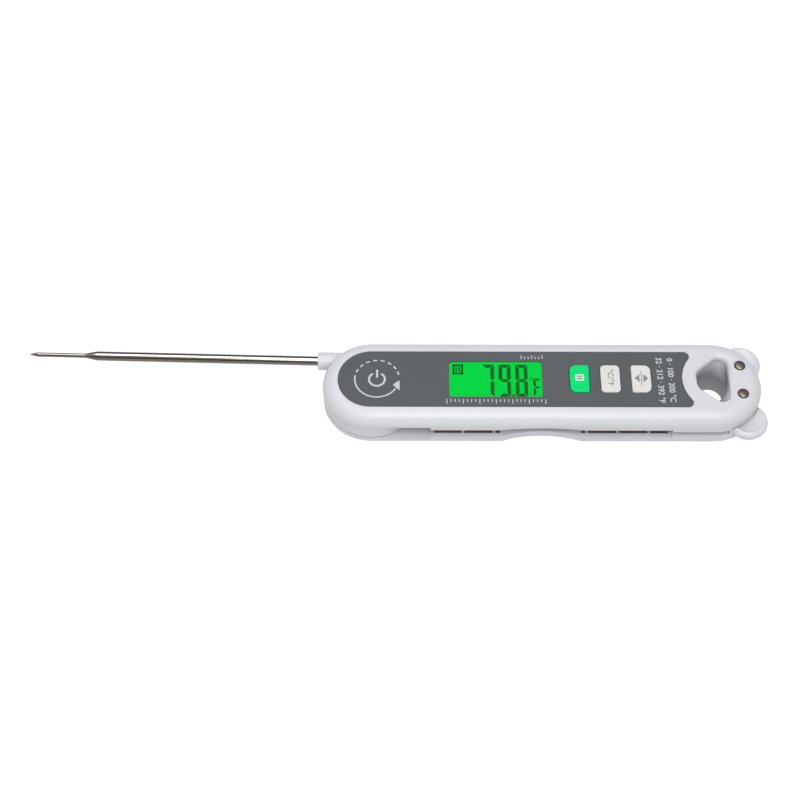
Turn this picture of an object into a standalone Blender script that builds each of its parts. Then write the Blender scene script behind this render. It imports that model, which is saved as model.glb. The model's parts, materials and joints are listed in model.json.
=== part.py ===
"""Folding pocket meat thermometer with a bear-faced hanging end.

Origin: on the probe hinge axis, in the plane that the back rests on.
+X runs to the hanging end, +Y away from the probe slot, +Z out of the display.
Depths are measured down from the front face.
"""
import math

import bmesh
import bpy
from mathutils import Matrix, Vector

MM = 0.001
GAP = 0.3 * MM                     # air kept between pieces that sit on each other
OVERCUT = 1.0 * MM                 # how far a cutter runs past the face it opens

# Housing envelope
BODY_THICKNESS = 14.5 * MM
BODY_HALF_WIDTH = 18.1 * MM
HEAD_CENTRE_X = 125.85 * MM
FRONT_EDGE_RADIUS = 5.3 * MM
BACK_EDGE_RADIUS = 0.6 * MM
PARTING_DEPTH = 8.1 * MM
END_STEPS = 28
SIDE_WALL = 2.3 * MM
FRONT_WEB = 1.4 * MM
BACK_PLATE = 2.0 * MM

# Probe arm
PROBE_OFFSET = 13.64 * MM          # hinge axis to probe axis
PROBE_AXIS_DEPTH = 9.0 * MM
PROBE_OVERTRAVEL = math.radians(1.48)
HUB_INSET = 0.3 * MM               # hub disc inside the rounded end of the body
HUB_SLEEVE_MARGIN = 0.05 * MM      # hub faces past the sleeve
HUB_EDGE = 0.4 * MM
HUB_STEPS = 64
HUB_RUNNING_GAP = 0.45 * MM
SLEEVE_RADIUS = 3.35 * MM
SLEEVE_END = 20.9 * MM
SHAFT_RADIUS = 1.75 * MM
SHAFT_WALL = 0.4 * MM
SHAFT_REAR = 5.0 * MM
SHAFT_END = 104.8 * MM
SWAGE_LENGTH = 4.6 * MM
NEEDLE_RADIUS = 0.83 * MM
NEEDLE_BORE_RADIUS = 0.5 * MM
NEEDLE_LENGTH = 17.6 * MM
POINT_LENGTH = 3.0 * MM
SENSOR_RADIUS = 0.35 * MM
SENSOR_LENGTH = 3.2 * MM
LEAD_RADIUS = 0.25 * MM
LEAD_CHANNEL = 1.6 * MM
HUB_SEAL_RADIUS = 6.1 * MM
HUB_SEAL_WIDTH = 1.2 * MM
HUB_SEAL_HEIGHT = 0.7 * MM
MAGNET_RADIUS = 1.5 * MM
MAGNET_HEIGHT = 1.8 * MM
MAGNET_RING = 12.0 * MM            # hinge axis to magnet

# Slot that the probe folds into
SLOT_SIDE_GAP = 0.45 * MM          # sleeve to its inner wall
SLOT_END_GAP = 0.9 * MM            # sleeve end to the block face
SHAFT_SLOT_GAP = 0.9 * MM          # shaft to the inner wall
SHAFT_TOP_GAP = 0.45 * MM
SHAFT_FLOOR_GAP = 0.75 * MM
NEEDLE_SLOT_GAP = 0.55 * MM
NEEDLE_TOP_GAP = 0.47 * MM
NEEDLE_FLOOR_GAP = 0.57 * MM
LIP_WIDTH = 1.9 * MM
POCKET_SKIN = 1.3 * MM             # left between a pocket and the back face
POCKET_START = 23.1 * MM
RIB_START = 33.75 * MM
RIB_PITCH = 11.38 * MM
RIB_THICKNESS = 1.0 * MM
RIB_COUNT = 7
SCALLOP_X = 62.65 * MM
SCALLOP_HALF_LENGTH = 15.3 * MM
SCALLOP_DEPTH = 2.6 * MM
ARCH_CROWN_GAP = 0.1 * MM          # front edge radius to the arch over the thumb notch

# Label, display and buttons
LABEL_HALF_WIDTH = 12.2 * MM
LABEL_THICKNESS = 0.5 * MM
LABEL_SIDE_GAP = 0.15 * MM
LABEL_ARC_X = 129.41 * MM
LABEL_ARC_RADIUS = 15.28 * MM
LABEL_CORNER = 2.0 * MM
WINDOW_CENTRE_X = 45.74 * MM
WINDOW_LENGTH = 33.97 * MM
WINDOW_WIDTH = 15.5 * MM
WINDOW_THICKNESS = 1.1 * MM
WINDOW_RECESS = 0.1 * MM
WINDOW_LEDGE = 1.2 * MM
GLASS_MARGIN_X = 1.5 * MM
GLASS_MARGIN_Y = 0.45 * MM
GLASS_THICKNESS = 2.1 * MM
FRAME_WALL = 0.75 * MM
GUIDE_THICKNESS = 1.6 * MM
ZEBRA_WIDTH = 1.2 * MM
BUTTON_LENGTH = 7.2 * MM
BUTTON_WIDTH = 11.95 * MM
BUTTON_FIRST_X = 76.48 * MM
BUTTON_PITCH = 11.33 * MM
BUTTON_PROUD = 0.6 * MM
BUTTON_CORNER = 0.9 * MM
BUTTON_CORNER_LARGE = 2.4 * MM
BUTTON_FLANGE = 0.95 * MM
BUTTON_FLANGE_THICKNESS = 0.7 * MM
BUTTON_STEM_RADIUS = 1.3 * MM
BUTTON_STEM_END = 4.4 * MM
BUTTON_TRAVEL_GAP = 0.5 * MM
SWITCH_SIZE = 4.5 * MM
SWITCH_HEIGHT = 1.1 * MM
SWITCH_PLUNGER_RADIUS = 1.0 * MM
SEAL_SHEET_THICKNESS = 0.4 * MM
SEAL_SHEET_MARGIN = 1.6 * MM

# Electronics and battery
BOARD_TOP = 7.0 * MM
BOARD_THICKNESS = 1.0 * MM
BOARD_MARGIN = 1.705 * MM          # board past the display frame
BOARD_END_GAP = 2.5 * MM
CAVITY_END_X = 112.0 * MM
BAY_WALL = 1.75 * MM
FRAME_SIDE_GAP = 0.14 * MM         # display frame to the near wall of the cavity
CHIP_SIZE = 7.0 * MM
CHIP_HEIGHT = 1.1 * MM
REED_LENGTH = 8.0 * MM
REED_WIDTH = 1.6 * MM
CELL_RADIUS = 10.0 * MM
CELL_THICKNESS = 3.2 * MM
CELL_X = 92.0 * MM
CELL_Y = 2.75 * MM
CONTACT_THICKNESS = 0.4 * MM
CONTACT_LENGTH = 8.0 * MM
CONTACT_WIDTH = 3.0 * MM
DOOR_MARGIN = 1.7 * MM             # door past the cell that comes out through it
DOOR_GAP = 0.4 * MM
DOOR_RECESS = 0.3 * MM
DOOR_GROOVE_DEPTH = 0.9 * MM
DOOR_SEAL_HEIGHT = 0.8 * MM
COIN_SLOT_LENGTH = 12.0 * MM
COIN_SLOT_WIDTH = 1.8 * MM
COIN_SLOT_DEPTH = 0.8 * MM
GASKET_WIDTH = 0.6 * MM
GASKET_HEIGHT = 0.9 * MM

# Screws and pivot
SCREW_RADIUS = 1.0 * MM
SCREW_HEAD_RADIUS = 2.0 * MM
SCREW_HEAD_HEIGHT = 0.8 * MM
SCREW_RECESS = 1.3 * MM            # back face to the seats of the housing screws
SCREW_TIP_DEPTH = 5.0 * MM
SCREW_BOSS_RADIUS = 2.9 * MM
SIDE_SCREW_X = (27.0 * MM, 70.0 * MM)
HEAD_SCREW_X = 113.6 * MM
HEAD_SCREW_Y = 8.0 * MM
PIVOT_BOSS_RADIUS = 3.6 * MM
PIVOT_SCREW_SEAT_DEPTH = 2.0 * MM
PIVOT_SCREW_TIP_DEPTH = 11.0 * MM

# Hanging end
HOLE_FRONT_LEFT = (123.7 * MM, 2.9 * MM, 4.2 * MM)
HOLE_FRONT_RIGHT = (128.4 * MM, 6.75 * MM, 3.0 * MM)
HOLE_CENTRE_X = 125.7 * MM
HOLE_WAIST_RADIUS = 6.3 * MM
HOLE_WAIST_DEPTH = 8.0 * MM
HOLE_EXIT_RADIUS = 5.4 * MM
HOLE_STEPS = 40
HOLE_FLARE = 0.8 * MM              # widening of the mouth at the front face
HOLE_FLARE_MIDDLE = 0.25 * MM
HOLE_FLARE_BREAK = 0.35 * MM
HOLE_FLARE_DEPTH = 1.2 * MM
EAR_X = 138.2 * MM
EAR_Y = 12.65 * MM
EAR_RADIUS = 7.5 * MM
EAR_TOP_DEPTH = 7.0 * MM
EAR_THICKNESS = 4.0 * MM
EAR_DISH = 0.8 * MM
EAR_RIM = 1.5 * MM
STUD_X = 136.0 * MM
STUD_Y = 6.23 * MM
STUD_RADIUS = 2.05 * MM
STUD_HEIGHT = 0.9 * MM
STUD_SHANK_RADIUS = 1.0 * MM
STUD_SHANK_LENGTH = 2.3 * MM
STUD_SEAT_DEPTH = 0.4 * MM

# Places that follow from the sizes above
HUB_RADIUS = BODY_HALF_WIDTH - HUB_INSET
HUB_THICKNESS = 2 * (SLEEVE_RADIUS + HUB_SLEEVE_MARGIN)
HUB_BORE_RADIUS = PIVOT_BOSS_RADIUS + GAP
HUB_TOP = PROBE_AXIS_DEPTH - HUB_THICKNESS / 2
HUB_BOTTOM = PROBE_AXIS_DEPTH + HUB_THICKNESS / 2
BAY_TOP = HUB_TOP - GAP
BAY_FLOOR = HUB_BOTTOM + GAP
BAY_RADIUS = HUB_RADIUS + HUB_RUNNING_GAP
LABEL_SEAT = LABEL_THICKNESS + GAP
WEB_BOTTOM = LABEL_SEAT + FRONT_WEB
PLATE_TOP = BODY_THICKNESS - BACK_PLATE
POCKET_FLOOR = BODY_THICKNESS - POCKET_SKIN
SCREW_SEAT_DEPTH = BODY_THICKNESS - SCREW_RECESS
SLEEVE_WALL_Y = -(PROBE_OFFSET - SLEEVE_RADIUS - SLOT_SIDE_GAP)
BLOCK_X = SLEEVE_END + SLOT_END_GAP
SHAFT_WALL_Y = -(PROBE_OFFSET - SHAFT_RADIUS - SHAFT_SLOT_GAP)
NEEDLE_WALL_Y = -(PROBE_OFFSET - NEEDLE_RADIUS - NEEDLE_SLOT_GAP)
SHAFT_SLOT_TOP = PROBE_AXIS_DEPTH - SHAFT_RADIUS - SHAFT_TOP_GAP
SHAFT_SLOT_FLOOR = PROBE_AXIS_DEPTH + SHAFT_RADIUS + SHAFT_FLOOR_GAP
SHAFT_SLOT_END = SHAFT_END + SWAGE_LENGTH + SLOT_END_GAP
ARCH_RISE = SHAFT_SLOT_TOP - FRONT_EDGE_RADIUS - ARCH_CROWN_GAP
NEEDLE_SLOT_TOP = PROBE_AXIS_DEPTH - NEEDLE_RADIUS - NEEDLE_TOP_GAP
NEEDLE_SLOT_FLOOR = PROBE_AXIS_DEPTH + NEEDLE_RADIUS + NEEDLE_FLOOR_GAP
PROBE_LENGTH = SHAFT_END + SWAGE_LENGTH + NEEDLE_LENGTH + POINT_LENGTH
NEEDLE_SLOT_END = PROBE_LENGTH + SLOT_END_GAP
FRAME_HALF_WIDTH = WINDOW_WIDTH / 2 + GLASS_MARGIN_Y + GAP + FRAME_WALL
CAVITY_NEAR_Y = -(FRAME_HALF_WIDTH + FRAME_SIDE_GAP)
CAVITY_FAR_Y = BODY_HALF_WIDTH - SIDE_WALL
CAVITY_ARC = BAY_RADIUS + BAY_WALL
FRAME_START_X = WINDOW_CENTRE_X - WINDOW_LENGTH / 2 - GLASS_MARGIN_X - GAP - FRAME_WALL
BOARD_START_X = FRAME_START_X - BOARD_MARGIN
GLASS_TOP = WEB_BOTTOM + GAP
GUIDE_TOP = GLASS_TOP + GLASS_THICKNESS + GAP
BOARD_BOTTOM = BOARD_TOP + BOARD_THICKNESS
SIDE_SCREW_Y = CAVITY_FAR_Y - SCREW_BOSS_RADIUS - GAP
BOARD_FAR_Y = SIDE_SCREW_Y - SCREW_BOSS_RADIUS - GAP
CELL_TOP = PLATE_TOP - GAP - CELL_THICKNESS
DOOR_RADIUS = CELL_RADIUS + DOOR_MARGIN
DOOR_TOP = PLATE_TOP
DOOR_BOTTOM = BODY_THICKNESS - DOOR_RECESS
OUTSIDE_Y = -(BODY_HALF_WIDTH + OVERCUT)


def z_at(depth):
    """Height of a plane that lies this far under the front face."""
    return BODY_THICKNESS - depth


def fresh_collection(name):
    collection = bpy.data.collections.new(name)
    bpy.context.scene.collection.children.link(collection)
    return collection


def plastic(name, colour, roughness=0.4, metallic=0.0):
    material = bpy.data.materials.new(name)
    material.use_nodes = True
    shader = material.node_tree.nodes["Principled BSDF"]
    shader.inputs["Base Color"].default_value = (*colour, 1.0)
    shader.inputs["Roughness"].default_value = roughness
    shader.inputs["Metallic"].default_value = metallic
    return material


def add_object(name, mesh, collection, material=None):
    piece = bpy.data.objects.new(name, mesh)
    collection.objects.link(piece)
    if material:
        mesh.materials.append(material)
    if collection is CUTTERS:
        piece.hide_render = True
        piece.display_type = "WIRE"
    return piece


def arc(cx, cy, radius, start, end, steps):
    """Points along an arc, angles in degrees, both ends included."""
    points = []
    for i in range(steps + 1):
        angle = math.radians(start + (end - start) * i / steps)
        points.append((cx + radius * math.cos(angle), cy + radius * math.sin(angle)))
    return points


def stadium(grow=0.0):
    """Outline of the whole body, counter-clockwise."""
    radius = BODY_HALF_WIDTH + grow
    right = arc(HEAD_CENTRE_X, 0, radius, -90, 90, END_STEPS)
    left = arc(0, 0, radius, 90, 270, END_STEPS)
    return right + left


def rounded_rectangle(cx, cy, length, width, corners, steps=4):
    """corners: radii at (+x+y), (-x+y), (-x-y), (+x-y)."""
    hx = length / 2
    hy = width / 2
    signs = ((1, 1), (-1, 1), (-1, -1), (1, -1))
    points = []
    for i, (sx, sy) in enumerate(signs):
        r = corners[i]
        points += arc(cx + sx * (hx - r), cy + sy * (hy - r), r, 90 * i, 90 * i + 90, steps)
    return points


def label_outline(grow=0.0):
    """Round at the hinge end, hollowed around the hanging hole at the other."""
    half = LABEL_HALF_WIDTH + grow
    hollow = LABEL_ARC_RADIUS - grow
    r = LABEL_CORNER + grow
    run = math.sqrt((hollow + r) ** 2 - (half - r) ** 2)
    corner_x = LABEL_ARC_X - run
    meet = math.degrees(math.atan2(half - r, run))
    points = arc(0, 0, half, 90, 270, END_STEPS)
    points += arc(corner_x, -(half - r), r, -90, meet, 6)
    points += arc(LABEL_ARC_X, 0, hollow, 180 + meet, 180 - meet, 14)[1:-1]
    points += arc(corner_x, half - r, r, -meet, 90, 6)
    return points


def cavity_outline(grow=0.0):
    """Room for the electronics, beside the slot and clear of the hub bay."""
    near = CAVITY_NEAR_Y - grow
    far = CAVITY_FAR_Y + grow
    radius = CAVITY_ARC - grow
    a_near = math.degrees(math.asin(near / radius))
    a_far = math.degrees(math.asin(min(far / radius, 1)))
    points = arc(0, 0, radius, a_far, a_near, 16)
    if far > radius:
        points.insert(0, (0, far))
    end = CAVITY_END_X + grow
    points += [(end, near), (end, far)]
    return points


def tidy_mesh(mesh, flatten=True):
    """Weld the seams of a converted curve and merge its flat caps into single faces."""
    work = bmesh.new()
    work.from_mesh(mesh)
    bmesh.ops.remove_doubles(work, verts=work.verts, dist=1e-7)
    if flatten:
        bmesh.ops.dissolve_limit(work, angle_limit=0.001, verts=work.verts, edges=work.edges)
    bmesh.ops.recalc_face_normals(work, faces=work.faces)
    work.to_mesh(mesh)
    work.free()


def from_curve(name, curve, collection, material, matrix, flatten=True):
    """Turn a curve into a mesh object at the same place."""
    guide = bpy.data.objects.new(name + "_curve", curve)
    bpy.context.scene.collection.objects.link(guide)
    guide.matrix_world = matrix
    bpy.context.view_layer.update()
    graph = bpy.context.evaluated_depsgraph_get()
    mesh = bpy.data.meshes.new_from_object(guide.evaluated_get(graph))
    tidy_mesh(mesh, flatten)
    piece = add_object(name, mesh, collection, material)
    piece.matrix_world = guide.matrix_world.copy()
    bpy.data.objects.remove(guide)
    return piece


def prism(name, outlines, top, bottom, collection, material=None):
    """Flat outline, with holes if more outlines follow, between two depths."""
    curve = bpy.data.curves.new(name, "CURVE")
    curve.dimensions = "2D"
    curve.fill_mode = "BOTH"
    curve.extrude = (bottom - top) / 2
    for outline in outlines:
        spline = curve.splines.new("POLY")
        spline.points.add(len(outline) - 1)
        spline.use_cyclic_u = True
        for point, (x, y) in zip(spline.points, outline):
            point.co = (x, y, 0, 1)
    place = Matrix.Translation((0, 0, z_at((top + bottom) / 2)))
    return from_curve(name, curve, collection, material, place, len(outlines) == 1)


def wire(name, points, radius, collection, material):
    """Round wire along a run of points."""
    curve = bpy.data.curves.new(name, "CURVE")
    curve.dimensions = "3D"
    curve.bevel_depth = radius
    curve.bevel_resolution = 1
    curve.use_fill_caps = True
    spline = curve.splines.new("POLY")
    spline.points.add(len(points) - 1)
    for point, place in zip(spline.points, points):
        point.co = (*place, 1)
    piece = from_curve(name, curve, collection, material, Matrix.Identity(4), False)
    shade_round(piece)
    return piece


def box(name, x0, x1, y0, y1, top, bottom, collection, material=None):
    work = bmesh.new()
    bmesh.ops.create_cube(work, size=1.0)
    bmesh.ops.scale(work, vec=(x1 - x0, y1 - y0, bottom - top), verts=work.verts)
    mesh = bpy.data.meshes.new(name)
    work.to_mesh(mesh)
    work.free()
    piece = add_object(name, mesh, collection, material)
    piece.location = ((x0 + x1) / 2, (y0 + y1) / 2, z_at((top + bottom) / 2))
    return piece


def rod(name, x, y, radius, top, bottom, collection, material=None, steps=24):
    work = bmesh.new()
    bmesh.ops.create_cone(work, cap_ends=True, segments=steps, radius1=radius,
                          radius2=radius, depth=bottom - top)
    mesh = bpy.data.meshes.new(name)
    work.to_mesh(mesh)
    work.free()
    piece = add_object(name, mesh, collection, material)
    piece.location = (x, y, z_at((top + bottom) / 2))
    return piece


def turned(name, profile, x, y, collection, material=None, steps=32):
    """Profile of (radius, depth) pairs spun about a vertical axis."""
    mesh = bpy.data.meshes.new(name)
    points = [(r, 0, -depth) for r, depth in profile]
    edges = [(i, i + 1) for i in range(len(points) - 1)]
    if profile[0][0] > 0:
        edges.append((len(points) - 1, 0))
    mesh.from_pydata(points, edges, [])
    piece = add_object(name, mesh, collection, material)
    piece.location = (x, y, z_at(0))
    spin = piece.modifiers.new("Turn", "SCREW")
    spin.steps = steps
    spin.render_steps = steps
    spin.use_merge_vertices = True
    spin.merge_threshold = 0.00001
    spin.use_smooth_shade = False
    return piece


def boolean(piece, other, operation="DIFFERENCE"):
    modifier = piece.modifiers.new(other.name, "BOOLEAN")
    modifier.operation = operation
    modifier.object = other
    return modifier


def round_edge(piece, depth, width, steps):
    """Round the outline edge that lies at one depth."""
    mesh = piece.data
    level = z_at(depth) - piece.location.z
    layer = mesh.attributes.new("bevel_weight_edge", "FLOAT", "EDGE")
    for edge in mesh.edges:
        heights = [mesh.vertices[i].co.z for i in edge.vertices]
        if all(abs(h - level) < 1e-6 for h in heights):
            layer.data[edge.index].value = 1.0
    bevel = piece.modifiers.new("Edge radius", "BEVEL")
    bevel.limit_method = "WEIGHT"
    bevel.width = width
    bevel.segments = steps
    bevel.use_clamp_overlap = False
    return bevel


def shade_round(piece):
    mesh = piece.data
    mesh.shade_smooth()
    mesh.set_sharp_from_angle(angle=math.radians(35))


def hull(circles, steps):
    """Convex outline around circles (x, y, radius), one point per direction."""
    points = []
    for i in range(steps):
        angle = 2 * math.pi * i / steps
        ux = math.cos(angle)
        uy = math.sin(angle)
        best = max(circles, key=lambda c: c[0] * ux + c[1] * uy + c[2])
        points.append((best[0] + best[2] * ux, best[1] + best[2] * uy))
    return points


def evened(outline, steps):
    """The same closed outline with points at equal spacing, starting at +X."""
    loop = outline + [outline[0]]
    runs = [math.dist(a, b) for a, b in zip(loop, loop[1:])]
    total = sum(runs)
    points = []
    for i in range(steps):
        left = total * i / steps
        for (a, b), run in zip(zip(loop, loop[1:]), runs):
            if left <= run:
                t = left / run if run else 0.0
                points.append((a[0] + (b[0] - a[0]) * t, a[1] + (b[1] - a[1]) * t))
                break
            left -= run
    return points


def hanging_hole(name):
    """Funnel from the rounded triangle at the front to the round exit at the back."""
    lx, ly, lr = HOLE_FRONT_LEFT
    rx, ry, rr = HOLE_FRONT_RIGHT
    sections = []
    slope = (HOLE_FLARE - HOLE_FLARE_MIDDLE) / HOLE_FLARE_BREAK
    for depth, grow in ((-OVERCUT, HOLE_FLARE + slope * OVERCUT),
                        (HOLE_FLARE_BREAK, HOLE_FLARE_MIDDLE), (HOLE_FLARE_DEPTH, 0)):
        circles = [(lx, ly, lr + grow), (lx, -ly, lr + grow)]
        circles += [(rx, ry, rr + grow), (rx, -ry, rr + grow)]
        sections.append((depth, evened(hull(circles, 160), HOLE_STEPS)))
    exit_depth = BODY_THICKNESS
    for depth, radius in ((HOLE_WAIST_DEPTH, HOLE_WAIST_RADIUS), (exit_depth, HOLE_EXIT_RADIUS),
                          (exit_depth + OVERCUT, HOLE_EXIT_RADIUS)):
        circle = arc(HOLE_CENTRE_X, 0, radius, 0, 360, HOLE_STEPS)[:-1]
        sections.append((depth, circle))
    work = bmesh.new()
    rings = []
    for depth, outline in sections:
        rings.append([work.verts.new((x, y, z_at(depth))) for x, y in outline])
    for upper, lower in zip(rings, rings[1:]):
        for i in range(HOLE_STEPS):
            j = (i + 1) % HOLE_STEPS
            work.faces.new((upper[i], lower[i], lower[j], upper[j]))
    work.faces.new(rings[0])
    work.faces.new(list(reversed(rings[-1])))
    bmesh.ops.recalc_face_normals(work, faces=work.faces)
    mesh = bpy.data.meshes.new(name)
    work.to_mesh(mesh)
    work.free()
    return add_object(name, mesh, CUTTERS)


def button_x(index):
    return BUTTON_FIRST_X + BUTTON_PITCH * index


def button_corners(index, grow=0.0):
    large = BUTTON_CORNER_LARGE + grow
    small = BUTTON_CORNER + grow
    if index == 0:
        return (small, large, large, small)
    if index == 2:
        return (large, small, small, large)
    return (small, small, small, small)


def screw_places():
    places = [(x, SIDE_SCREW_Y) for x in SIDE_SCREW_X]
    places += [(HEAD_SCREW_X, HEAD_SCREW_Y), (HEAD_SCREW_X, -HEAD_SCREW_Y)]
    return places


def build_front_shell():
    shell = prism("front_shell", [stadium()], 0, PARTING_DEPTH, PARTS, WHITE)
    round_edge(shell, 0, FRONT_EDGE_RADIUS, 6)
    below = PARTING_DEPTH + OVERCUT
    cuts = [
        rod("cut_bay_front", 0, 0, BAY_RADIUS, BAY_TOP, below, CUTTERS, steps=HUB_STEPS),
        box("cut_sleeve_front", 0, BLOCK_X, OUTSIDE_Y, SLEEVE_WALL_Y, BAY_TOP, below, CUTTERS),
        box("cut_shaft_front", BLOCK_X - OVERCUT, SHAFT_SLOT_END, OUTSIDE_Y, SHAFT_WALL_Y,
            SHAFT_SLOT_TOP, below, CUTTERS),
        box("cut_needle_front", SHAFT_SLOT_END - OVERCUT, NEEDLE_SLOT_END, OUTSIDE_Y,
            NEEDLE_WALL_Y, NEEDLE_SLOT_TOP, below, CUTTERS),
        arch_cutter(),
        prism("cut_cavity_front", [cavity_outline()], WEB_BOTTOM, below, CUTTERS),
        prism("cut_label_seat", [label_outline(LABEL_SIDE_GAP)], -OVERCUT, LABEL_SEAT, CUTTERS),
        box("cut_window_seat", WINDOW_CENTRE_X - WINDOW_LENGTH / 2 - GAP,
            WINDOW_CENTRE_X + WINDOW_LENGTH / 2 + GAP, -WINDOW_WIDTH / 2 - GAP,
            WINDOW_WIDTH / 2 + GAP, -OVERCUT, WINDOW_RECESS + WINDOW_THICKNESS + GAP, CUTTERS),
        box("cut_window_through", WINDOW_CENTRE_X - WINDOW_LENGTH / 2 + WINDOW_LEDGE,
            WINDOW_CENTRE_X + WINDOW_LENGTH / 2 - WINDOW_LEDGE,
            -WINDOW_WIDTH / 2 + WINDOW_LEDGE, WINDOW_WIDTH / 2 - WINDOW_LEDGE,
            0, WEB_BOTTOM + OVERCUT, CUTTERS),
        HOLE,
        rod("cut_pivot_front", 0, 0, SCREW_RADIUS + GAP, 0, below, CUTTERS, steps=16),
        rod("cut_pivot_seat", 0, 0, SCREW_HEAD_RADIUS + GAP, 0, PIVOT_SCREW_SEAT_DEPTH, CUTTERS),
        box("cut_lead_groove", HUB_BORE_RADIUS - GAP, CAVITY_ARC + OVERCUT, -0.75 * MM,
            0.75 * MM, BAY_TOP - 1.3 * MM, BAY_TOP + 0.1 * MM, CUTTERS),
    ]
    for i in range(3):
        outline = rounded_rectangle(button_x(i), 0, BUTTON_LENGTH + 2 * GAP,
                                    BUTTON_WIDTH + 2 * GAP, button_corners(i, GAP))
        cuts.append(prism("cut_button_%d" % (i + 1), [outline], 0, WEB_BOTTOM + OVERCUT, CUTTERS))
    for side in (-1, 1):
        cuts.append(rod("cut_stud_seat_%d" % side, STUD_X, side * STUD_Y, STUD_RADIUS + GAP,
                        -OVERCUT, STUD_SEAT_DEPTH, CUTTERS))
        cuts.append(rod("cut_stud_shank_%d" % side, STUD_X, side * STUD_Y,
                        STUD_SHANK_RADIUS + GAP, 0,
                        STUD_SEAT_DEPTH + STUD_SHANK_LENGTH, CUTTERS, steps=16))
    for cutter in cuts:
        boolean(shell, cutter)
    for i, x in enumerate(SIDE_SCREW_X):
        boss = rod("add_boss_%d" % (i + 1), x, SIDE_SCREW_Y, SCREW_BOSS_RADIUS,
                   WEB_BOTTOM - FRONT_WEB / 2, PLATE_TOP - GAP, CUTTERS)
        boolean(shell, boss, "UNION")
    for i, (x, y) in enumerate(screw_places()):
        bore = rod("cut_screw_front_%d" % (i + 1), x, y, SCREW_RADIUS + GAP,
                   SCREW_TIP_DEPTH - GAP, PLATE_TOP + OVERCUT, CUTTERS, steps=16)
        boolean(shell, bore)
    return shell


def ear(side):
    """Round ear with a dished face, trimmed clear of the front shell."""
    half = EAR_THICKNESS / 2
    rim = EAR_RADIUS - EAR_RIM
    top = EAR_TOP_DEPTH
    profile = [(0, top + EAR_DISH)]
    for i in range(1, 5):
        t = i / 4
        profile.append((rim * t, top + EAR_DISH * (1 - t * t)))
    for i in range(1, 8):
        angle = math.pi * i / 8
        profile.append((rim + EAR_RIM * math.sin(angle), top + half - half * math.cos(angle)))
    profile.append((rim, top + EAR_THICKNESS))
    profile.append((0, top + EAR_THICKNESS))
    name = "far" if side > 0 else "near"
    disc = turned("add_ear_" + name, profile, EAR_X, side * EAR_Y, CUTTERS)
    boolean(disc, EAR_TRIM)
    return disc


def scallop_outline():
    """Shallow thumb notch in the near side, so the folded probe can be lifted."""
    half = SCALLOP_HALF_LENGTH
    radius = (half ** 2 + SCALLOP_DEPTH ** 2) / (2 * SCALLOP_DEPTH)
    centre_y = -BODY_HALF_WIDTH + SCALLOP_DEPTH - radius
    swing = math.degrees(math.asin(half / radius)) * 1.15
    points = arc(SCALLOP_X, centre_y, radius, 90 - swing, 90 + swing, 20)
    floor = OUTSIDE_Y - 2 * MM
    return points + [(points[-1][0], floor), (points[0][0], floor)]


def arch_cutter():
    """Shallow arch that lifts the front shell's lower edge over the thumb notch."""
    half = SCALLOP_HALF_LENGTH
    radius = (half ** 2 + ARCH_RISE ** 2) / (2 * ARCH_RISE)
    edge = z_at(SHAFT_SLOT_TOP)
    swing = math.degrees(math.asin(half / radius)) * 1.1
    points = arc(SCALLOP_X, edge + ARCH_RISE - radius, radius, 90 - swing, 90 + swing, 14)
    points += [(points[-1][0], edge - OVERCUT), (points[0][0], edge - OVERCUT)]
    work = bmesh.new()
    face = work.faces.new([work.verts.new((x, OUTSIDE_Y, z)) for x, z in points])
    grown = bmesh.ops.extrude_face_region(work, geom=[face])["geom"]
    verts = [item for item in grown if isinstance(item, bmesh.types.BMVert)]
    reach = -(PROBE_OFFSET - SHAFT_RADIUS) - OUTSIDE_Y
    bmesh.ops.translate(work, verts=verts, vec=(0, reach, 0))
    bmesh.ops.recalc_face_normals(work, faces=work.faces)
    mesh = bpy.data.meshes.new("cut_arch")
    work.to_mesh(mesh)
    work.free()
    return add_object("cut_arch", mesh, CUTTERS)


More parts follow.
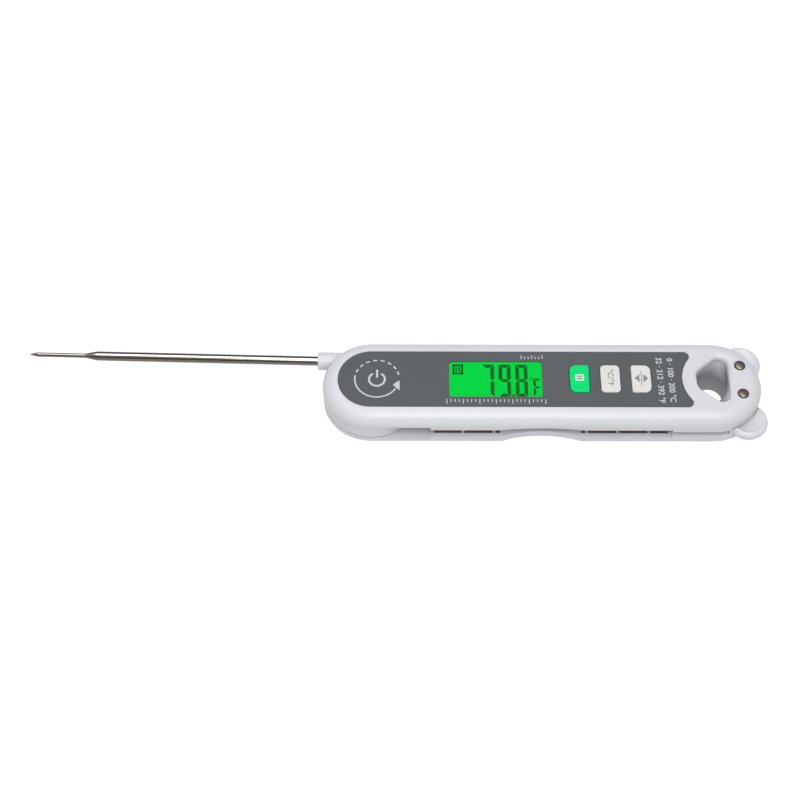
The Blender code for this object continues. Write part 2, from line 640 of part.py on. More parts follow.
def build_back_cover():
    cover = prism("back_cover", [stadium()], PARTING_DEPTH + GAP, BODY_THICKNESS, PARTS, WHITE)
    round_edge(cover, BODY_THICKNESS, BACK_EDGE_RADIUS, 2)
    above = PARTING_DEPTH - OVERCUT
    under = BODY_THICKNESS + OVERCUT
    seat_top = PARTING_DEPTH + GAP + GASKET_HEIGHT + 2 * GAP
    cuts = [
        rod("cut_bay_back", 0, 0, BAY_RADIUS, above, BAY_FLOOR, CUTTERS, steps=HUB_STEPS),
        box("cut_sleeve_back", 0, BLOCK_X, OUTSIDE_Y, SLEEVE_WALL_Y, above, BAY_FLOOR, CUTTERS),
        box("cut_shaft_back", BLOCK_X - OVERCUT, SHAFT_SLOT_END, OUTSIDE_Y, SHAFT_WALL_Y,
            above, SHAFT_SLOT_FLOOR, CUTTERS),
        box("cut_needle_back", SHAFT_SLOT_END - OVERCUT, NEEDLE_SLOT_END, OUTSIDE_Y,
            NEEDLE_WALL_Y, above, NEEDLE_SLOT_FLOOR, CUTTERS),
        prism("cut_cavity_back", [cavity_outline()], above, PLATE_TOP, CUTTERS),
        prism("cut_gasket_seat", [cavity_outline(GASKET_WIDTH + GAP)], above, seat_top, CUTTERS),
        prism("cut_scallop", [scallop_outline()], above, under, CUTTERS),
        rod("cut_door", CELL_X, CELL_Y, DOOR_RADIUS + DOOR_GAP, PLATE_TOP - OVERCUT, under,
            CUTTERS, steps=48),
    ]
    inner = SHAFT_WALL_Y - GAP
    outer = -BODY_HALF_WIDTH + LIP_WIDTH
    solid_from = SCALLOP_X - SCALLOP_HALF_LENGTH
    solid_to = SCALLOP_X + SCALLOP_HALF_LENGTH
    start = POCKET_START
    for i in range(RIB_COUNT + 1):
        rib = RIB_START + RIB_PITCH * i
        last = i == RIB_COUNT
        end = SHAFT_SLOT_END - OVERCUT - GAP if last else rib - RIB_THICKNESS / 2
        if end <= solid_from or start >= solid_to:
            cuts.append(box("cut_pocket_%d" % (i + 1), start, end, outer, inner,
                            SHAFT_SLOT_FLOOR - OVERCUT, POCKET_FLOOR, CUTTERS))
        start = rib + RIB_THICKNESS / 2
    for cutter in cuts:
        boolean(cover, cutter)
    for side in (-1, 1):
        boolean(cover, ear(side), "UNION")
    boolean(cover, HOLE)
    boss = rod("add_pivot_boss", 0, 0, PIVOT_BOSS_RADIUS, HUB_TOP, BAY_FLOOR + OVERCUT / 2,
               CUTTERS)
    boolean(cover, boss, "UNION")
    boolean(cover, rod("cut_pivot_back", 0, 0, SCREW_RADIUS + GAP, HUB_TOP - OVERCUT,
                       PIVOT_SCREW_TIP_DEPTH + GAP, CUTTERS, steps=16))
    for i, (x, y) in enumerate(screw_places()):
        hole = rod("cut_screw_back_%d" % (i + 1), x, y, SCREW_RADIUS + GAP,
                   above, SCREW_SEAT_DEPTH + OVERCUT / 2, CUTTERS, steps=16)
        seat = rod("cut_screw_seat_%d" % (i + 1), x, y, SCREW_HEAD_RADIUS + GAP,
                   SCREW_SEAT_DEPTH, under, CUTTERS)
        boolean(cover, hole)
        boolean(cover, seat)
    return cover


def build_display():
    half_length = WINDOW_LENGTH / 2
    half_width = WINDOW_WIDTH / 2
    holes = [rounded_rectangle(WINDOW_CENTRE_X, 0, WINDOW_LENGTH + 2 * LABEL_SIDE_GAP,
                               WINDOW_WIDTH + 2 * LABEL_SIDE_GAP, (0.5 * MM,) * 4, 3)]
    for i in range(3):
        holes.append(rounded_rectangle(button_x(i), 0, BUTTON_LENGTH + 2 * GAP,
                                       BUTTON_WIDTH + 2 * GAP, button_corners(i, GAP)))
    prism("label_panel", [label_outline()] + holes, 0, LABEL_THICKNESS, PARTS, LABEL_GREY)
    window = rounded_rectangle(WINDOW_CENTRE_X, 0, WINDOW_LENGTH, WINDOW_WIDTH,
                               (0.4 * MM,) * 4, 3)
    prism("lcd_window", [window], WINDOW_RECESS, WINDOW_RECESS + WINDOW_THICKNESS, PARTS, CLEAR)
    gx = half_length + GLASS_MARGIN_X
    gy = half_width + GLASS_MARGIN_Y
    cx = WINDOW_CENTRE_X
    box("lcd_glass", cx - gx, cx + gx, -gy, gy, GLASS_TOP, GLASS_TOP + GLASS_THICKNESS,
        PARTS, LCD_GREEN)
    frame_low = BOARD_TOP - GAP
    inner = rounded_rectangle(cx, 0, 2 * (gx + GAP), 2 * (gy + GAP), (0.3 * MM,) * 4, 2)
    outer = rounded_rectangle(cx, 0, 2 * (gx + GAP + FRAME_WALL), 2 * (gy + GAP + FRAME_WALL),
                              (0.6 * MM,) * 4, 2)
    prism("lcd_frame", [outer, inner], GLASS_TOP, frame_low, PARTS, BLACK)
    strip_outer = gy - GAP
    strip_inner = strip_outer - ZEBRA_WIDTH
    for side, name in ((1, "far"), (-1, "near")):
        edges = sorted((side * strip_inner, side * strip_outer))
        box("zebra_strip_" + name, cx - half_length, cx + half_length, edges[0], edges[1],
            GUIDE_TOP, frame_low, PARTS, RUBBER_GREY)
    guide_end = cx + half_length - ZEBRA_WIDTH
    guide_half = strip_inner - GAP
    box("backlight_guide", cx - half_length, guide_end, -guide_half, guide_half,
        GUIDE_TOP, GUIDE_TOP + GUIDE_THICKNESS, PARTS, CLEAR)
    box("backlight_led", guide_end + GAP, guide_end + GAP + 1.6 * MM, -1.5 * MM, 1.5 * MM,
        GUIDE_TOP + GAP, frame_low, PARTS, LED_WHITE)


def build_buttons():
    colours = (BUTTON_GREEN, WHITE_CAP, WHITE_CAP)
    flange_top = WEB_BOTTOM + GAP
    flange_bottom = flange_top + BUTTON_FLANGE_THICKNESS
    seal_top = flange_bottom + BUTTON_TRAVEL_GAP + GAP / 2
    plunger_top = BUTTON_STEM_END + BUTTON_TRAVEL_GAP
    switch_top = BOARD_TOP - GAP - SWITCH_HEIGHT
    for i in range(3):
        x = button_x(i)
        number = i + 1
        cap_outline = rounded_rectangle(x, 0, BUTTON_LENGTH, BUTTON_WIDTH, button_corners(i))
        cap = prism("button_%d" % number, [cap_outline], -BUTTON_PROUD,
                    flange_top + BUTTON_FLANGE_THICKNESS / 2, PARTS, colours[i])
        round_edge(cap, -BUTTON_PROUD, 0.35 * MM, 2)
        flange_outline = rounded_rectangle(x, 0, BUTTON_LENGTH + 2 * BUTTON_FLANGE,
                                           BUTTON_WIDTH + 2 * BUTTON_FLANGE,
                                           button_corners(i, BUTTON_FLANGE), 2)
        flange = prism("add_flange_%d" % number, [flange_outline], flange_top, flange_bottom,
                       CUTTERS)
        stem = rod("add_stem_%d" % number, x, 0, BUTTON_STEM_RADIUS,
                   flange_top + BUTTON_FLANGE_THICKNESS * 0.7, BUTTON_STEM_END, CUTTERS, steps=16)
        boolean(cap, flange, "UNION")
        boolean(cap, stem, "UNION")
        half = SWITCH_SIZE / 2
        switch = box("tact_switch_%d" % number, x - half, x + half, -half, half, switch_top,
                     BOARD_TOP - GAP, PARTS, BLACK)
        plunger = rod("add_plunger_%d" % number, x, 0, SWITCH_PLUNGER_RADIUS, plunger_top,
                      switch_top + SWITCH_HEIGHT / 2, CUTTERS, steps=16)
        boolean(switch, plunger, "UNION")
    margin = SEAL_SHEET_MARGIN
    mid_x = button_x(1)
    length = 2 * BUTTON_PITCH + BUTTON_LENGTH + 2 * margin
    sheet = rounded_rectangle(mid_x, 0, length, BUTTON_WIDTH + 2 * margin, (1.5 * MM,) * 4, 3)
    holes = []
    for i in range(3):
        holes.append(arc(button_x(i), 0, BUTTON_STEM_RADIUS + GAP, 0, 360, 20)[:-1])
    prism("keypad_seal", [sheet] + holes, seal_top, seal_top + SEAL_SHEET_THICKNESS, PARTS,
          RUBBER_GREY)


def build_electronics():
    board_end = CAVITY_END_X - BOARD_END_GAP
    box("circuit_board", BOARD_START_X, board_end, CAVITY_NEAR_Y + GAP, BOARD_FAR_Y,
        BOARD_TOP, BOARD_BOTTOM, PARTS, BOARD_GREEN)
    under = BOARD_BOTTOM + GAP
    half = CHIP_SIZE / 2
    box("controller_chip", WINDOW_CENTRE_X - half, WINDOW_CENTRE_X + half, -half, half,
        under, under + CHIP_HEIGHT, PARTS, BLACK)
    reed_x = BOARD_START_X + 1.5 * MM
    box("reed_switch", reed_x, reed_x + REED_LENGTH, 5.0 * MM, 5.0 * MM + REED_WIDTH,
        under, under + REED_WIDTH, PARTS, CLEAR)
    profile = [(0, CELL_TOP), (CELL_RADIUS - 1.1 * MM, CELL_TOP),
               (CELL_RADIUS - 0.9 * MM, CELL_TOP + 0.25 * MM),
               (CELL_RADIUS, CELL_TOP + 0.45 * MM),
               (CELL_RADIUS, CELL_TOP + CELL_THICKNESS - 0.2 * MM),
               (CELL_RADIUS - 0.2 * MM, CELL_TOP + CELL_THICKNESS),
               (0, CELL_TOP + CELL_THICKNESS)]
    turned("coin_cell", profile, CELL_X, CELL_Y, PARTS, STEEL, 40)
    box("contact_negative", CELL_X - CONTACT_LENGTH / 2, CELL_X + CONTACT_LENGTH / 2,
        CELL_Y - CONTACT_WIDTH / 2, CELL_Y + CONTACT_WIDTH / 2, under, CELL_TOP - GAP,
        PARTS, SPRING_STEEL)
    inside = CELL_RADIUS + GAP
    clip = arc(CELL_X, CELL_Y, inside + CONTACT_THICKNESS, 150, 210, 10)
    clip += arc(CELL_X, CELL_Y, inside, 210, 150, 10)
    prism("contact_positive", [clip], under, CELL_TOP + CELL_THICKNESS - GAP, PARTS, SPRING_STEEL)


def build_battery_door():
    top = DOOR_TOP
    low = DOOR_BOTTOM
    middle = (top + low) / 2
    groove_half = DOOR_SEAL_HEIGHT / 2 + 0.1 * MM
    groove = DOOR_RADIUS - DOOR_GROOVE_DEPTH
    profile = [(0, top), (DOOR_RADIUS, top), (DOOR_RADIUS, middle - groove_half),
               (groove, middle - groove_half), (groove, middle + groove_half),
               (DOOR_RADIUS, middle + groove_half), (DOOR_RADIUS, low), (0, low)]
    door = turned("battery_door", profile, CELL_X, CELL_Y, PARTS, WHITE, 48)
    slot = box("cut_coin_slot", CELL_X - COIN_SLOT_LENGTH / 2, CELL_X + COIN_SLOT_LENGTH / 2,
               CELL_Y - COIN_SLOT_WIDTH / 2, CELL_Y + COIN_SLOT_WIDTH / 2,
               low - COIN_SLOT_DEPTH, low + OVERCUT, CUTTERS)
    boolean(door, slot)
    inner = groove + 0.15 * MM
    outer = DOOR_RADIUS + DOOR_GAP / 2
    seal_top = middle - DOOR_SEAL_HEIGHT / 2
    seal_low = middle + DOOR_SEAL_HEIGHT / 2
    ring = [(outer, seal_top), (outer, seal_low), (inner, seal_low), (inner, seal_top)]
    turned("battery_door_seal", ring, CELL_X, CELL_Y, PARTS, BLACK, 48)


def build_gasket():
    outer = cavity_outline(GASKET_WIDTH)
    top = PARTING_DEPTH + GAP
    prism("housing_gasket", [outer, cavity_outline()], top, top + GASKET_HEIGHT, PARTS,
          RUBBER_GREY)


def screw(name, x, y, seat, tip, turn_down):
    """Slotted pan-head screw between its seat and its tip, head up unless turned down."""
    length = abs(tip - seat)
    edge = 0.2 * MM
    profile = [(0, -SCREW_HEAD_HEIGHT), (SCREW_HEAD_RADIUS - edge, -SCREW_HEAD_HEIGHT),
               (SCREW_HEAD_RADIUS, edge - SCREW_HEAD_HEIGHT), (SCREW_HEAD_RADIUS, 0),
               (SCREW_RADIUS, 0), (SCREW_RADIUS, length - SCREW_RADIUS),
               (SCREW_RADIUS * 0.6, length), (0, length)]
    piece = turned(name, profile, x, y, PARTS, STEEL, 16)
    piece.location.z = z_at(seat)
    top = seat + SCREW_HEAD_HEIGHT if turn_down else seat - SCREW_HEAD_HEIGHT
    slot = box("cut_slot_" + name, x - SCREW_HEAD_RADIUS * 0.7, x + SCREW_HEAD_RADIUS * 0.7,
               y - 0.25 * MM, y + 0.25 * MM, top - 0.4 * MM, top + 0.4 * MM, CUTTERS)
    if turn_down:
        piece.rotation_euler = (math.pi, 0, 0)
    boolean(piece, slot)
    return piece


def build_screws():
    for i, (x, y) in enumerate(screw_places()):
        screw("housing_screw_%d" % (i + 1), x, y, SCREW_SEAT_DEPTH + GAP, SCREW_TIP_DEPTH, True)
    screw("pivot_screw", 0, 0, PIVOT_SCREW_SEAT_DEPTH - GAP, PIVOT_SCREW_TIP_DEPTH, False)


def build_studs():
    seat = STUD_SEAT_DEPTH - GAP
    for side, name in ((1, "far"), (-1, "near")):
        profile = [(0, -STUD_HEIGHT)]
        for i in range(1, 7):
            angle = math.radians(90 * i / 6)
            profile.append((STUD_RADIUS * math.sin(angle), -STUD_HEIGHT * math.cos(angle)))
        profile += [(STUD_RADIUS, seat), (STUD_SHANK_RADIUS, seat),
                    (STUD_SHANK_RADIUS, seat + STUD_SHANK_LENGTH),
                    (0, seat + STUD_SHANK_LENGTH)]
        turned("eye_stud_" + name, profile, STUD_X, side * STUD_Y, PARTS, DARK_METAL, 24)


def level_rod(name, x0, x1, y, radius, collection, material=None, steps=24):
    """Cylinder lying along X at the probe's depth."""
    work = bmesh.new()
    bmesh.ops.create_cone(work, cap_ends=True, segments=steps, radius1=radius,
                          radius2=radius, depth=x1 - x0)
    bmesh.ops.rotate(work, matrix=Matrix.Rotation(math.radians(90), 3, "Y"), verts=work.verts)
    mesh = bpy.data.meshes.new(name)
    work.to_mesh(mesh)
    work.free()
    piece = add_object(name, mesh, collection, material)
    piece.location = ((x0 + x1) / 2, y, z_at(PROBE_AXIS_DEPTH))
    return piece


def build_probe_arm():
    """Everything that swings with the probe, drawn pointing along -X, then turned."""
    edge = HUB_EDGE
    outline = [(HUB_BORE_RADIUS, HUB_TOP), (HUB_RADIUS - edge, HUB_TOP),
               (HUB_RADIUS, HUB_TOP + edge), (HUB_RADIUS, HUB_BOTTOM - edge),
               (HUB_RADIUS - edge, HUB_BOTTOM), (HUB_BORE_RADIUS, HUB_BOTTOM)]
    hub = turned("probe_hub", outline, 0, 0, PARTS, WHITE, HUB_STEPS)
    sleeve = level_rod("add_sleeve", -SLEEVE_END, 0, PROBE_OFFSET, SLEEVE_RADIUS, CUTTERS,
                       steps=32)
    bevel = sleeve.modifiers.new("Edge radius", "BEVEL")
    bevel.width = 0.5 * MM
    bevel.segments = 2
    bevel.limit_method = "ANGLE"
    bore = level_rod("cut_tube_bore", -SLEEVE_END - OVERCUT, -SHAFT_REAR + GAP, PROBE_OFFSET,
                     SHAFT_RADIUS + GAP, CUTTERS)
    lead_half = LEAD_CHANNEL / 2
    lead_bore = level_rod("cut_lead_bore", -SHAFT_REAR - OVERCUT, lead_half, PROBE_OFFSET,
                          lead_half, CUTTERS, steps=12)
    channel = box("cut_lead_channel", -lead_half, lead_half, HUB_BORE_RADIUS - OVERCUT,
                  PROBE_OFFSET, PROBE_AXIS_DEPTH - lead_half, PROBE_AXIS_DEPTH + lead_half,
                  CUTTERS)
    seal_half = HUB_SEAL_WIDTH / 2
    groove_low = HUB_TOP + HUB_SEAL_HEIGHT + GAP + 0.1 * MM
    groove = [(HUB_SEAL_RADIUS + seal_half + GAP, HUB_TOP - OVERCUT),
              (HUB_SEAL_RADIUS + seal_half + GAP, groove_low),
              (HUB_SEAL_RADIUS - seal_half - GAP, groove_low),
              (HUB_SEAL_RADIUS - seal_half - GAP, HUB_TOP - OVERCUT)]
    groove_cut = turned("cut_seal_groove", groove, 0, 0, CUTTERS, None, 40)
    magnet_x = -MAGNET_RING * math.sin(math.radians(50))
    magnet_y = -MAGNET_RING * math.cos(math.radians(50))
    magnet_low = HUB_TOP + 0.2 * MM + MAGNET_HEIGHT
    pocket = rod("cut_magnet", magnet_x, magnet_y, MAGNET_RADIUS + GAP, HUB_TOP - OVERCUT,
                 magnet_low + GAP, CUTTERS, steps=20)
    boolean(hub, sleeve, "UNION")
    for cutter in (bore, lead_bore, channel, groove_cut, pocket):
        boolean(hub, cutter)

    seal_low = groove_low - GAP
    seal_top = seal_low - HUB_SEAL_HEIGHT
    ring = [(HUB_SEAL_RADIUS + seal_half, seal_top), (HUB_SEAL_RADIUS + seal_half, seal_low),
            (HUB_SEAL_RADIUS - seal_half, seal_low), (HUB_SEAL_RADIUS - seal_half, seal_top)]
    seal = turned("hub_seal_ring", ring, 0, 0, PARTS, BLACK, 40)
    magnet = rod("fold_magnet", magnet_x, magnet_y, MAGNET_RADIUS, HUB_TOP + 0.2 * MM,
                 magnet_low, PARTS, STEEL, steps=20)

    bore_radius = SHAFT_RADIUS - SHAFT_WALL
    swage_end = SHAFT_END + SWAGE_LENGTH
    needle_end = swage_end + NEEDLE_LENGTH
    bore_end = needle_end - 0.5 * MM
    profile = [(0, bore_end), (NEEDLE_BORE_RADIUS, bore_end), (NEEDLE_BORE_RADIUS, swage_end),
               (bore_radius, SHAFT_END - 0.5 * MM), (bore_radius, SHAFT_REAR),
               (SHAFT_RADIUS, SHAFT_REAR), (SHAFT_RADIUS, SHAFT_END),
               (NEEDLE_RADIUS, swage_end), (NEEDLE_RADIUS, needle_end),
               (NEEDLE_RADIUS * 0.35, PROBE_LENGTH - 0.3 * MM), (0, PROBE_LENGTH)]
    tube = turned("probe_tube", profile, 0, PROBE_OFFSET, PARTS, STEEL, 24)
    tube.location.z = z_at(PROBE_AXIS_DEPTH)
    tube.rotation_euler = (0, math.radians(90), 0)
    sensor_end = -(bore_end - GAP)
    sensor = level_rod("thermistor", sensor_end, sensor_end + SENSOR_LENGTH, PROBE_OFFSET,
                       SENSOR_RADIUS, PARTS, BLACK, steps=12)
    z = z_at(PROBE_AXIS_DEPTH)
    turn = 2.0 * MM
    points = [(sensor_end + SENSOR_LENGTH + GAP, PROBE_OFFSET, z), (-SHAFT_END, PROBE_OFFSET, z),
              (-SHAFT_REAR, PROBE_OFFSET, z), (-turn, PROBE_OFFSET, z)]
    for i in range(1, 7):
        angle = math.radians(90 - 15 * i)
        points.append((-turn + turn * math.cos(angle), PROBE_OFFSET - turn + turn * math.sin(angle), z))
    points.append((0, HUB_BORE_RADIUS + GAP, z))
    leads = wire("sensor_leads", points, LEAD_RADIUS, PARTS, LEAD_RED)

    pivot = bpy.data.objects.new("probe_pivot", None)
    PARTS.objects.link(pivot)
    pivot.rotation_euler = (0, 0, -PROBE_OVERTRAVEL)
    for piece in (hub, seal, magnet, tube, sensor, leads, sleeve, bore, lead_bore, channel,
                  groove_cut, pocket):
        piece.parent = pivot


def build_board_leads():
    """Leads from the hinge to the board, laid in the groove over the hub."""
    depth = BAY_TOP - 0.65 * MM
    inside = CAVITY_ARC - MM
    landing = BOARD_START_X - 1.5 * MM
    points = [(HUB_BORE_RADIUS + 2 * GAP, 0, z_at(depth)),
              (inside, 0, z_at(depth)),
              ((inside + landing) / 2, 0, z_at(depth + 0.2 * MM)),
              (landing, 0, z_at(BOARD_TOP - 2 * GAP - LEAD_RADIUS)),
              (BOARD_START_X + 0.8 * MM, 0, z_at(BOARD_TOP - GAP - LEAD_RADIUS))]
    wire("board_leads", points, LEAD_RADIUS, PARTS, LEAD_RED)


for old in list(bpy.data.objects):
    bpy.data.objects.remove(old, do_unlink=True)

PARTS = fresh_collection("Folding thermometer")
CUTTERS = fresh_collection("Cutters")

WHITE = plastic("White plastic", (0.86, 0.86, 0.85), 0.35)
WHITE_CAP = plastic("White button", (0.88, 0.88, 0.87), 0.4)
BUTTON_GREEN = plastic("Green button", (0.36, 0.68, 0.16), 0.4)
LABEL_GREY = plastic("Grey label", (0.13, 0.14, 0.145), 0.5)
CLEAR = plastic("Clear plastic", (0.8, 0.85, 0.8), 0.1)
LCD_GREEN = plastic("Display green", (0.45, 0.72, 0.12), 0.2)
LED_WHITE = plastic("LED", (0.9, 0.95, 0.8), 0.3)
BLACK = plastic("Black plastic", (0.02, 0.02, 0.02), 0.5)
RUBBER_GREY = plastic("Grey rubber", (0.25, 0.25, 0.25), 0.8)
BOARD_GREEN = plastic("Circuit board", (0.03, 0.2, 0.06), 0.5)
STEEL = plastic("Stainless steel", (0.62, 0.61, 0.59), 0.28, 1.0)
SPRING_STEEL = plastic("Spring steel", (0.7, 0.66, 0.55), 0.3, 1.0)
DARK_METAL = plastic("Dark stud", (0.12, 0.1, 0.09), 0.3, 1.0)
LEAD_RED = plastic("Lead insulation", (0.5, 0.03, 0.02), 0.5)

HOLE = hanging_hole("cut_hanging_hole")
EAR_TRIM = prism("cut_ear_trim", [stadium(GAP)], EAR_TOP_DEPTH - OVERCUT,
                 PARTING_DEPTH + GAP, CUTTERS)

build_front_shell()
build_back_cover()
build_display()
build_buttons()
build_electronics()
build_battery_door()
build_gasket()
build_screws()
build_studs()
build_probe_arm()
build_board_leads()
bpy.context.view_layer.update()
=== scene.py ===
"""Looks of the folding meat thermometer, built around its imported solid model."""
import json
import math

import bmesh
import bpy
from mathutils import Matrix, Vector

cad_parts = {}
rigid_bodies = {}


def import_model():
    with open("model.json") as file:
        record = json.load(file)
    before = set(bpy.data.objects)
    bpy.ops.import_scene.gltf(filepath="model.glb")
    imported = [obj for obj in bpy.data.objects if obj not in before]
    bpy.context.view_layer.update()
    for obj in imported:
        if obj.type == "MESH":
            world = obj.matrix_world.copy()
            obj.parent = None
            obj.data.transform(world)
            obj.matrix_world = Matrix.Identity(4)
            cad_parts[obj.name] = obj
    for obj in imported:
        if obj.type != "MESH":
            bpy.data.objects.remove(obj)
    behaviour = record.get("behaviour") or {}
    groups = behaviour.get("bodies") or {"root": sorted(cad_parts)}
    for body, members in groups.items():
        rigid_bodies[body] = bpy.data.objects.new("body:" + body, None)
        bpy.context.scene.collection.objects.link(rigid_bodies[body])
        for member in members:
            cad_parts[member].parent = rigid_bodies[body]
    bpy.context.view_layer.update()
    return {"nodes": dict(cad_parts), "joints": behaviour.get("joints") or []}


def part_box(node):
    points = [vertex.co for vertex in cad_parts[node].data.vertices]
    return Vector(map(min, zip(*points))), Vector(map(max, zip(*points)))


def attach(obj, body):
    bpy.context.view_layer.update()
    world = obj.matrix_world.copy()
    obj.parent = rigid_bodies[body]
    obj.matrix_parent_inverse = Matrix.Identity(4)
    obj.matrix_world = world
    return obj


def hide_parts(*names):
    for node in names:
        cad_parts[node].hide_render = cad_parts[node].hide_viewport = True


bl_info = {
    "name": "Folding thermometer looks",
    "version": (1, 0, 0),
    "blender": (4, 5, 0),
    "location": "View3D > Sidebar > Thermometer",
    "description": "Builds the visible surfaces of a folding meat thermometer",
    "category": "Object",
}

for starting_object in list(bpy.data.objects):
    bpy.data.objects.remove(starting_object, do_unlink=True)
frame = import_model()

MM = 0.001
WELD = 2e-6
HOUSING = "housing"
ARM = "probe_arm"
FRONT_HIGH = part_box("front_shell")[1]
LABEL_LOW, LABEL_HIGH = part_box("label_panel")
WINDOW_LOW, WINDOW_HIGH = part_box("lcd_window")
STUD_LOW, STUD_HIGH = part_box("eye_stud_far")
DOOR_LOW, DOOR_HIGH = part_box("battery_door")
HUB_LOW, HUB_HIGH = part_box("probe_hub")
TOP = FRONT_HIGH.z
HALF_WIDTH = FRONT_HIGH.y
HEAD_X = FRONT_HIGH.x - HALF_WIDTH
FOLD = next(j for j in frame["joints"] if j["name"] == "probe_fold")
OPEN_TURN = math.radians(FOLD["range_deg"][1] - 180)
HUB_Z = (HUB_LOW.z + HUB_HIGH.z) / 2

OVER = 1.0 * MM           # reach of a cutter past the face it opens
OUTSIDE = -HALF_WIDTH - OVER
PRINT = 0.03 * MM         # thickness of printed shapes
JOINT_GAP = 0.3 * MM      # between the front shell and the back cover
JOINT_BEVEL = 0.15 * MM
SLOT_START = 21 * MM      # the slot takes the shaft first, then the needle
SLOT_CHANGE = 109 * MM
SHAFT_SLOT_END = 110.3 * MM
SHAFT_WALL = -10.99 * MM
SHAFT_ROOF = 6.8 * MM
NEEDLE_WALL = -12.26 * MM
NEEDLE_ROOF = 7.9 * MM
NEEDLE_FLOOR = 10.4 * MM
PLAIN_SLOT = (47.4 * MM, 77.2 * MM)  # stretch of the slot's floor without pockets
NOTCH_X = 62.65 * MM
NOTCH_HALF = 15.3 * MM


def length(name, default, description=""):
    return bpy.props.FloatProperty(name=name, default=default, unit="LENGTH", precision=5,
                                   description=description or name)


def colour(name, default, description=""):
    return bpy.props.FloatVectorProperty(name=name, default=default, subtype="COLOR", size=3,
                                         min=0.0, max=1.0, description=description or name)


class ShellSettings(bpy.types.PropertyGroup):
    edge_radius: length("Front edge radius", 5.3 * MM, "Large radius round the front face")
    parting_depth: length("Parting depth", 8.1 * MM, "Front face to the joint line")
    back_radius: length("Back edge radius", 0.6 * MM)
    label_depth: length("Label seat depth", 0.8 * MM)
    bay_radius: length("Hub bay radius", 18.25 * MM)
    lip_width: length("Slot lip width", 1.9 * MM)
    slot_floor: length("Slot floor depth", 11.5 * MM, "Front face to the floor of the probe slot")
    plastic: colour("Shell colour", (0.475, 0.478, 0.505))


class LabelSettings(bpy.types.PropertyGroup):
    arc_x: length("Hollow centre", 129.41 * MM, "Centre of the hollow round the hanging hole")
    arc_radius: length("Hollow radius", 15.28 * MM)
    corner: length("Corner radius", 2.0 * MM)
    grey: colour("Label colour", (0.070, 0.076, 0.080))
    print_grey: colour("Print colour", (0.43, 0.44, 0.45))
    ring_x: length("Ring centre", 2.11 * MM)
    ring_radius: length("Ring radius", 8.14 * MM)
    ring_line: length("Ring line width", 0.55 * MM)


class DisplaySettings(bpy.types.PropertyGroup):
    glow: colour("Backlight colour", (0.0, 0.66, 0.055))
    segment: colour("Segment colour", (0.0, 0.085, 0.006))
    digit_height: length("Digit height", 14.2 * MM)
    digit_width: length("Digit width", 4.5 * MM)


class ButtonSettings(bpy.types.PropertyGroup):
    green: colour("Green key colour", (0.0, 0.50, 0.13))
    white: colour("White key colour", (0.51, 0.505, 0.49))
    edge: length("Key edge radius", 0.45 * MM)


class ProbeSettings(bpy.types.PropertyGroup):
    offset: length("Probe offset", 13.64 * MM, "Hinge axis to probe axis")
    steel: colour("Steel colour", (0.56, 0.535, 0.50))
    sleeve_radius: length("Sleeve radius", 3.35 * MM)
    shaft_radius: length("Shaft radius", 1.75 * MM)
    shaft_end: length("Shaft end", 104.8 * MM)
    swage: length("Swage length", 4.6 * MM)
    needle_radius: length("Needle radius", 0.83 * MM)


class ThermometerSettings(bpy.types.PropertyGroup):
    shell: bpy.props.PointerProperty(type=ShellSettings)
    label: bpy.props.PointerProperty(type=LabelSettings)
    display: bpy.props.PointerProperty(type=DisplaySettings)
    buttons: bpy.props.PointerProperty(type=ButtonSettings)
    probe: bpy.props.PointerProperty(type=ProbeSettings)


# ---------------------------------------------------------------- mesh helpers

def settings():
    return bpy.context.scene.thermometer


def at_depth(depth):
    """Height of a plane this far under the front face."""
    return TOP - depth


def middle(low, high):
    """X and Y halfway between two corners."""
    return (low.x + high.x) / 2, (low.y + high.y) / 2


def centre_of(node):
    """X and Y of the middle of a solid's box."""
    return middle(*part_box(node))


def between(p, q, t):
    """Point a part t of the way from p to q."""
    return tuple(a + (b - a) * t for a, b in zip(p, q))


def bow_radius(half, rise):
    """Radius of an arc with this half chord and this rise."""
    return (half ** 2 + rise ** 2) / (2 * rise)


def finish_mesh(bm, name, recalc=True):
    bmesh.ops.remove_doubles(bm, verts=bm.verts, dist=WELD)
    if recalc:
        bmesh.ops.recalc_face_normals(bm, faces=bm.faces)
    mesh = bpy.data.meshes.new(name)
    bm.to_mesh(mesh)
    bm.free()
    piece = bpy.data.objects.new(name, mesh)
    bpy.context.scene.collection.objects.link(piece)
    return piece


def bake(piece):
    """Apply every modifier of a piece to its mesh."""
    graph = bpy.context.evaluated_depsgraph_get()
    mesh = bpy.data.meshes.new_from_object(piece.evaluated_get(graph))
    piece.modifiers.clear()
    piece.data = mesh
    return piece


def carve(piece, cutters, operation="DIFFERENCE"):
    """Cut or join other closed shapes and remove them afterwards."""
    for cutter in cutters:
        modifier = piece.modifiers.new("Carve", "BOOLEAN")
        modifier.operation = operation
        modifier.object = cutter
        modifier.solver = "EXACT"
    bpy.context.view_layer.update()
    bake(piece)
    for cutter in cutters:
        bpy.data.objects.remove(cutter, do_unlink=True)
    bm = bmesh.new()
    bm.from_mesh(piece.data)
    if not bm.faces or any(len(edge.link_faces) != 2 for edge in bm.edges):
        raise RuntimeError("%s did not stay closed" % piece.name)
    bm.free()
    return piece


def smooth(piece, degrees=32, weighted=True):
    piece.data.shade_smooth()
    piece.data.set_sharp_from_angle(angle=math.radians(degrees))
    if weighted:
        modifier = piece.modifiers.new("Even shading", "WEIGHTED_NORMAL")
        modifier.keep_sharp = True
        modifier.weight = 60
    return piece


def arc(cx, cy, radius, start, end, steps):
    points = []
    for i in range(steps + 1):
        a = math.radians(start + (end - start) * i / steps)
        points.append((cx + radius * math.cos(a), cy + radius * math.sin(a)))
    return points


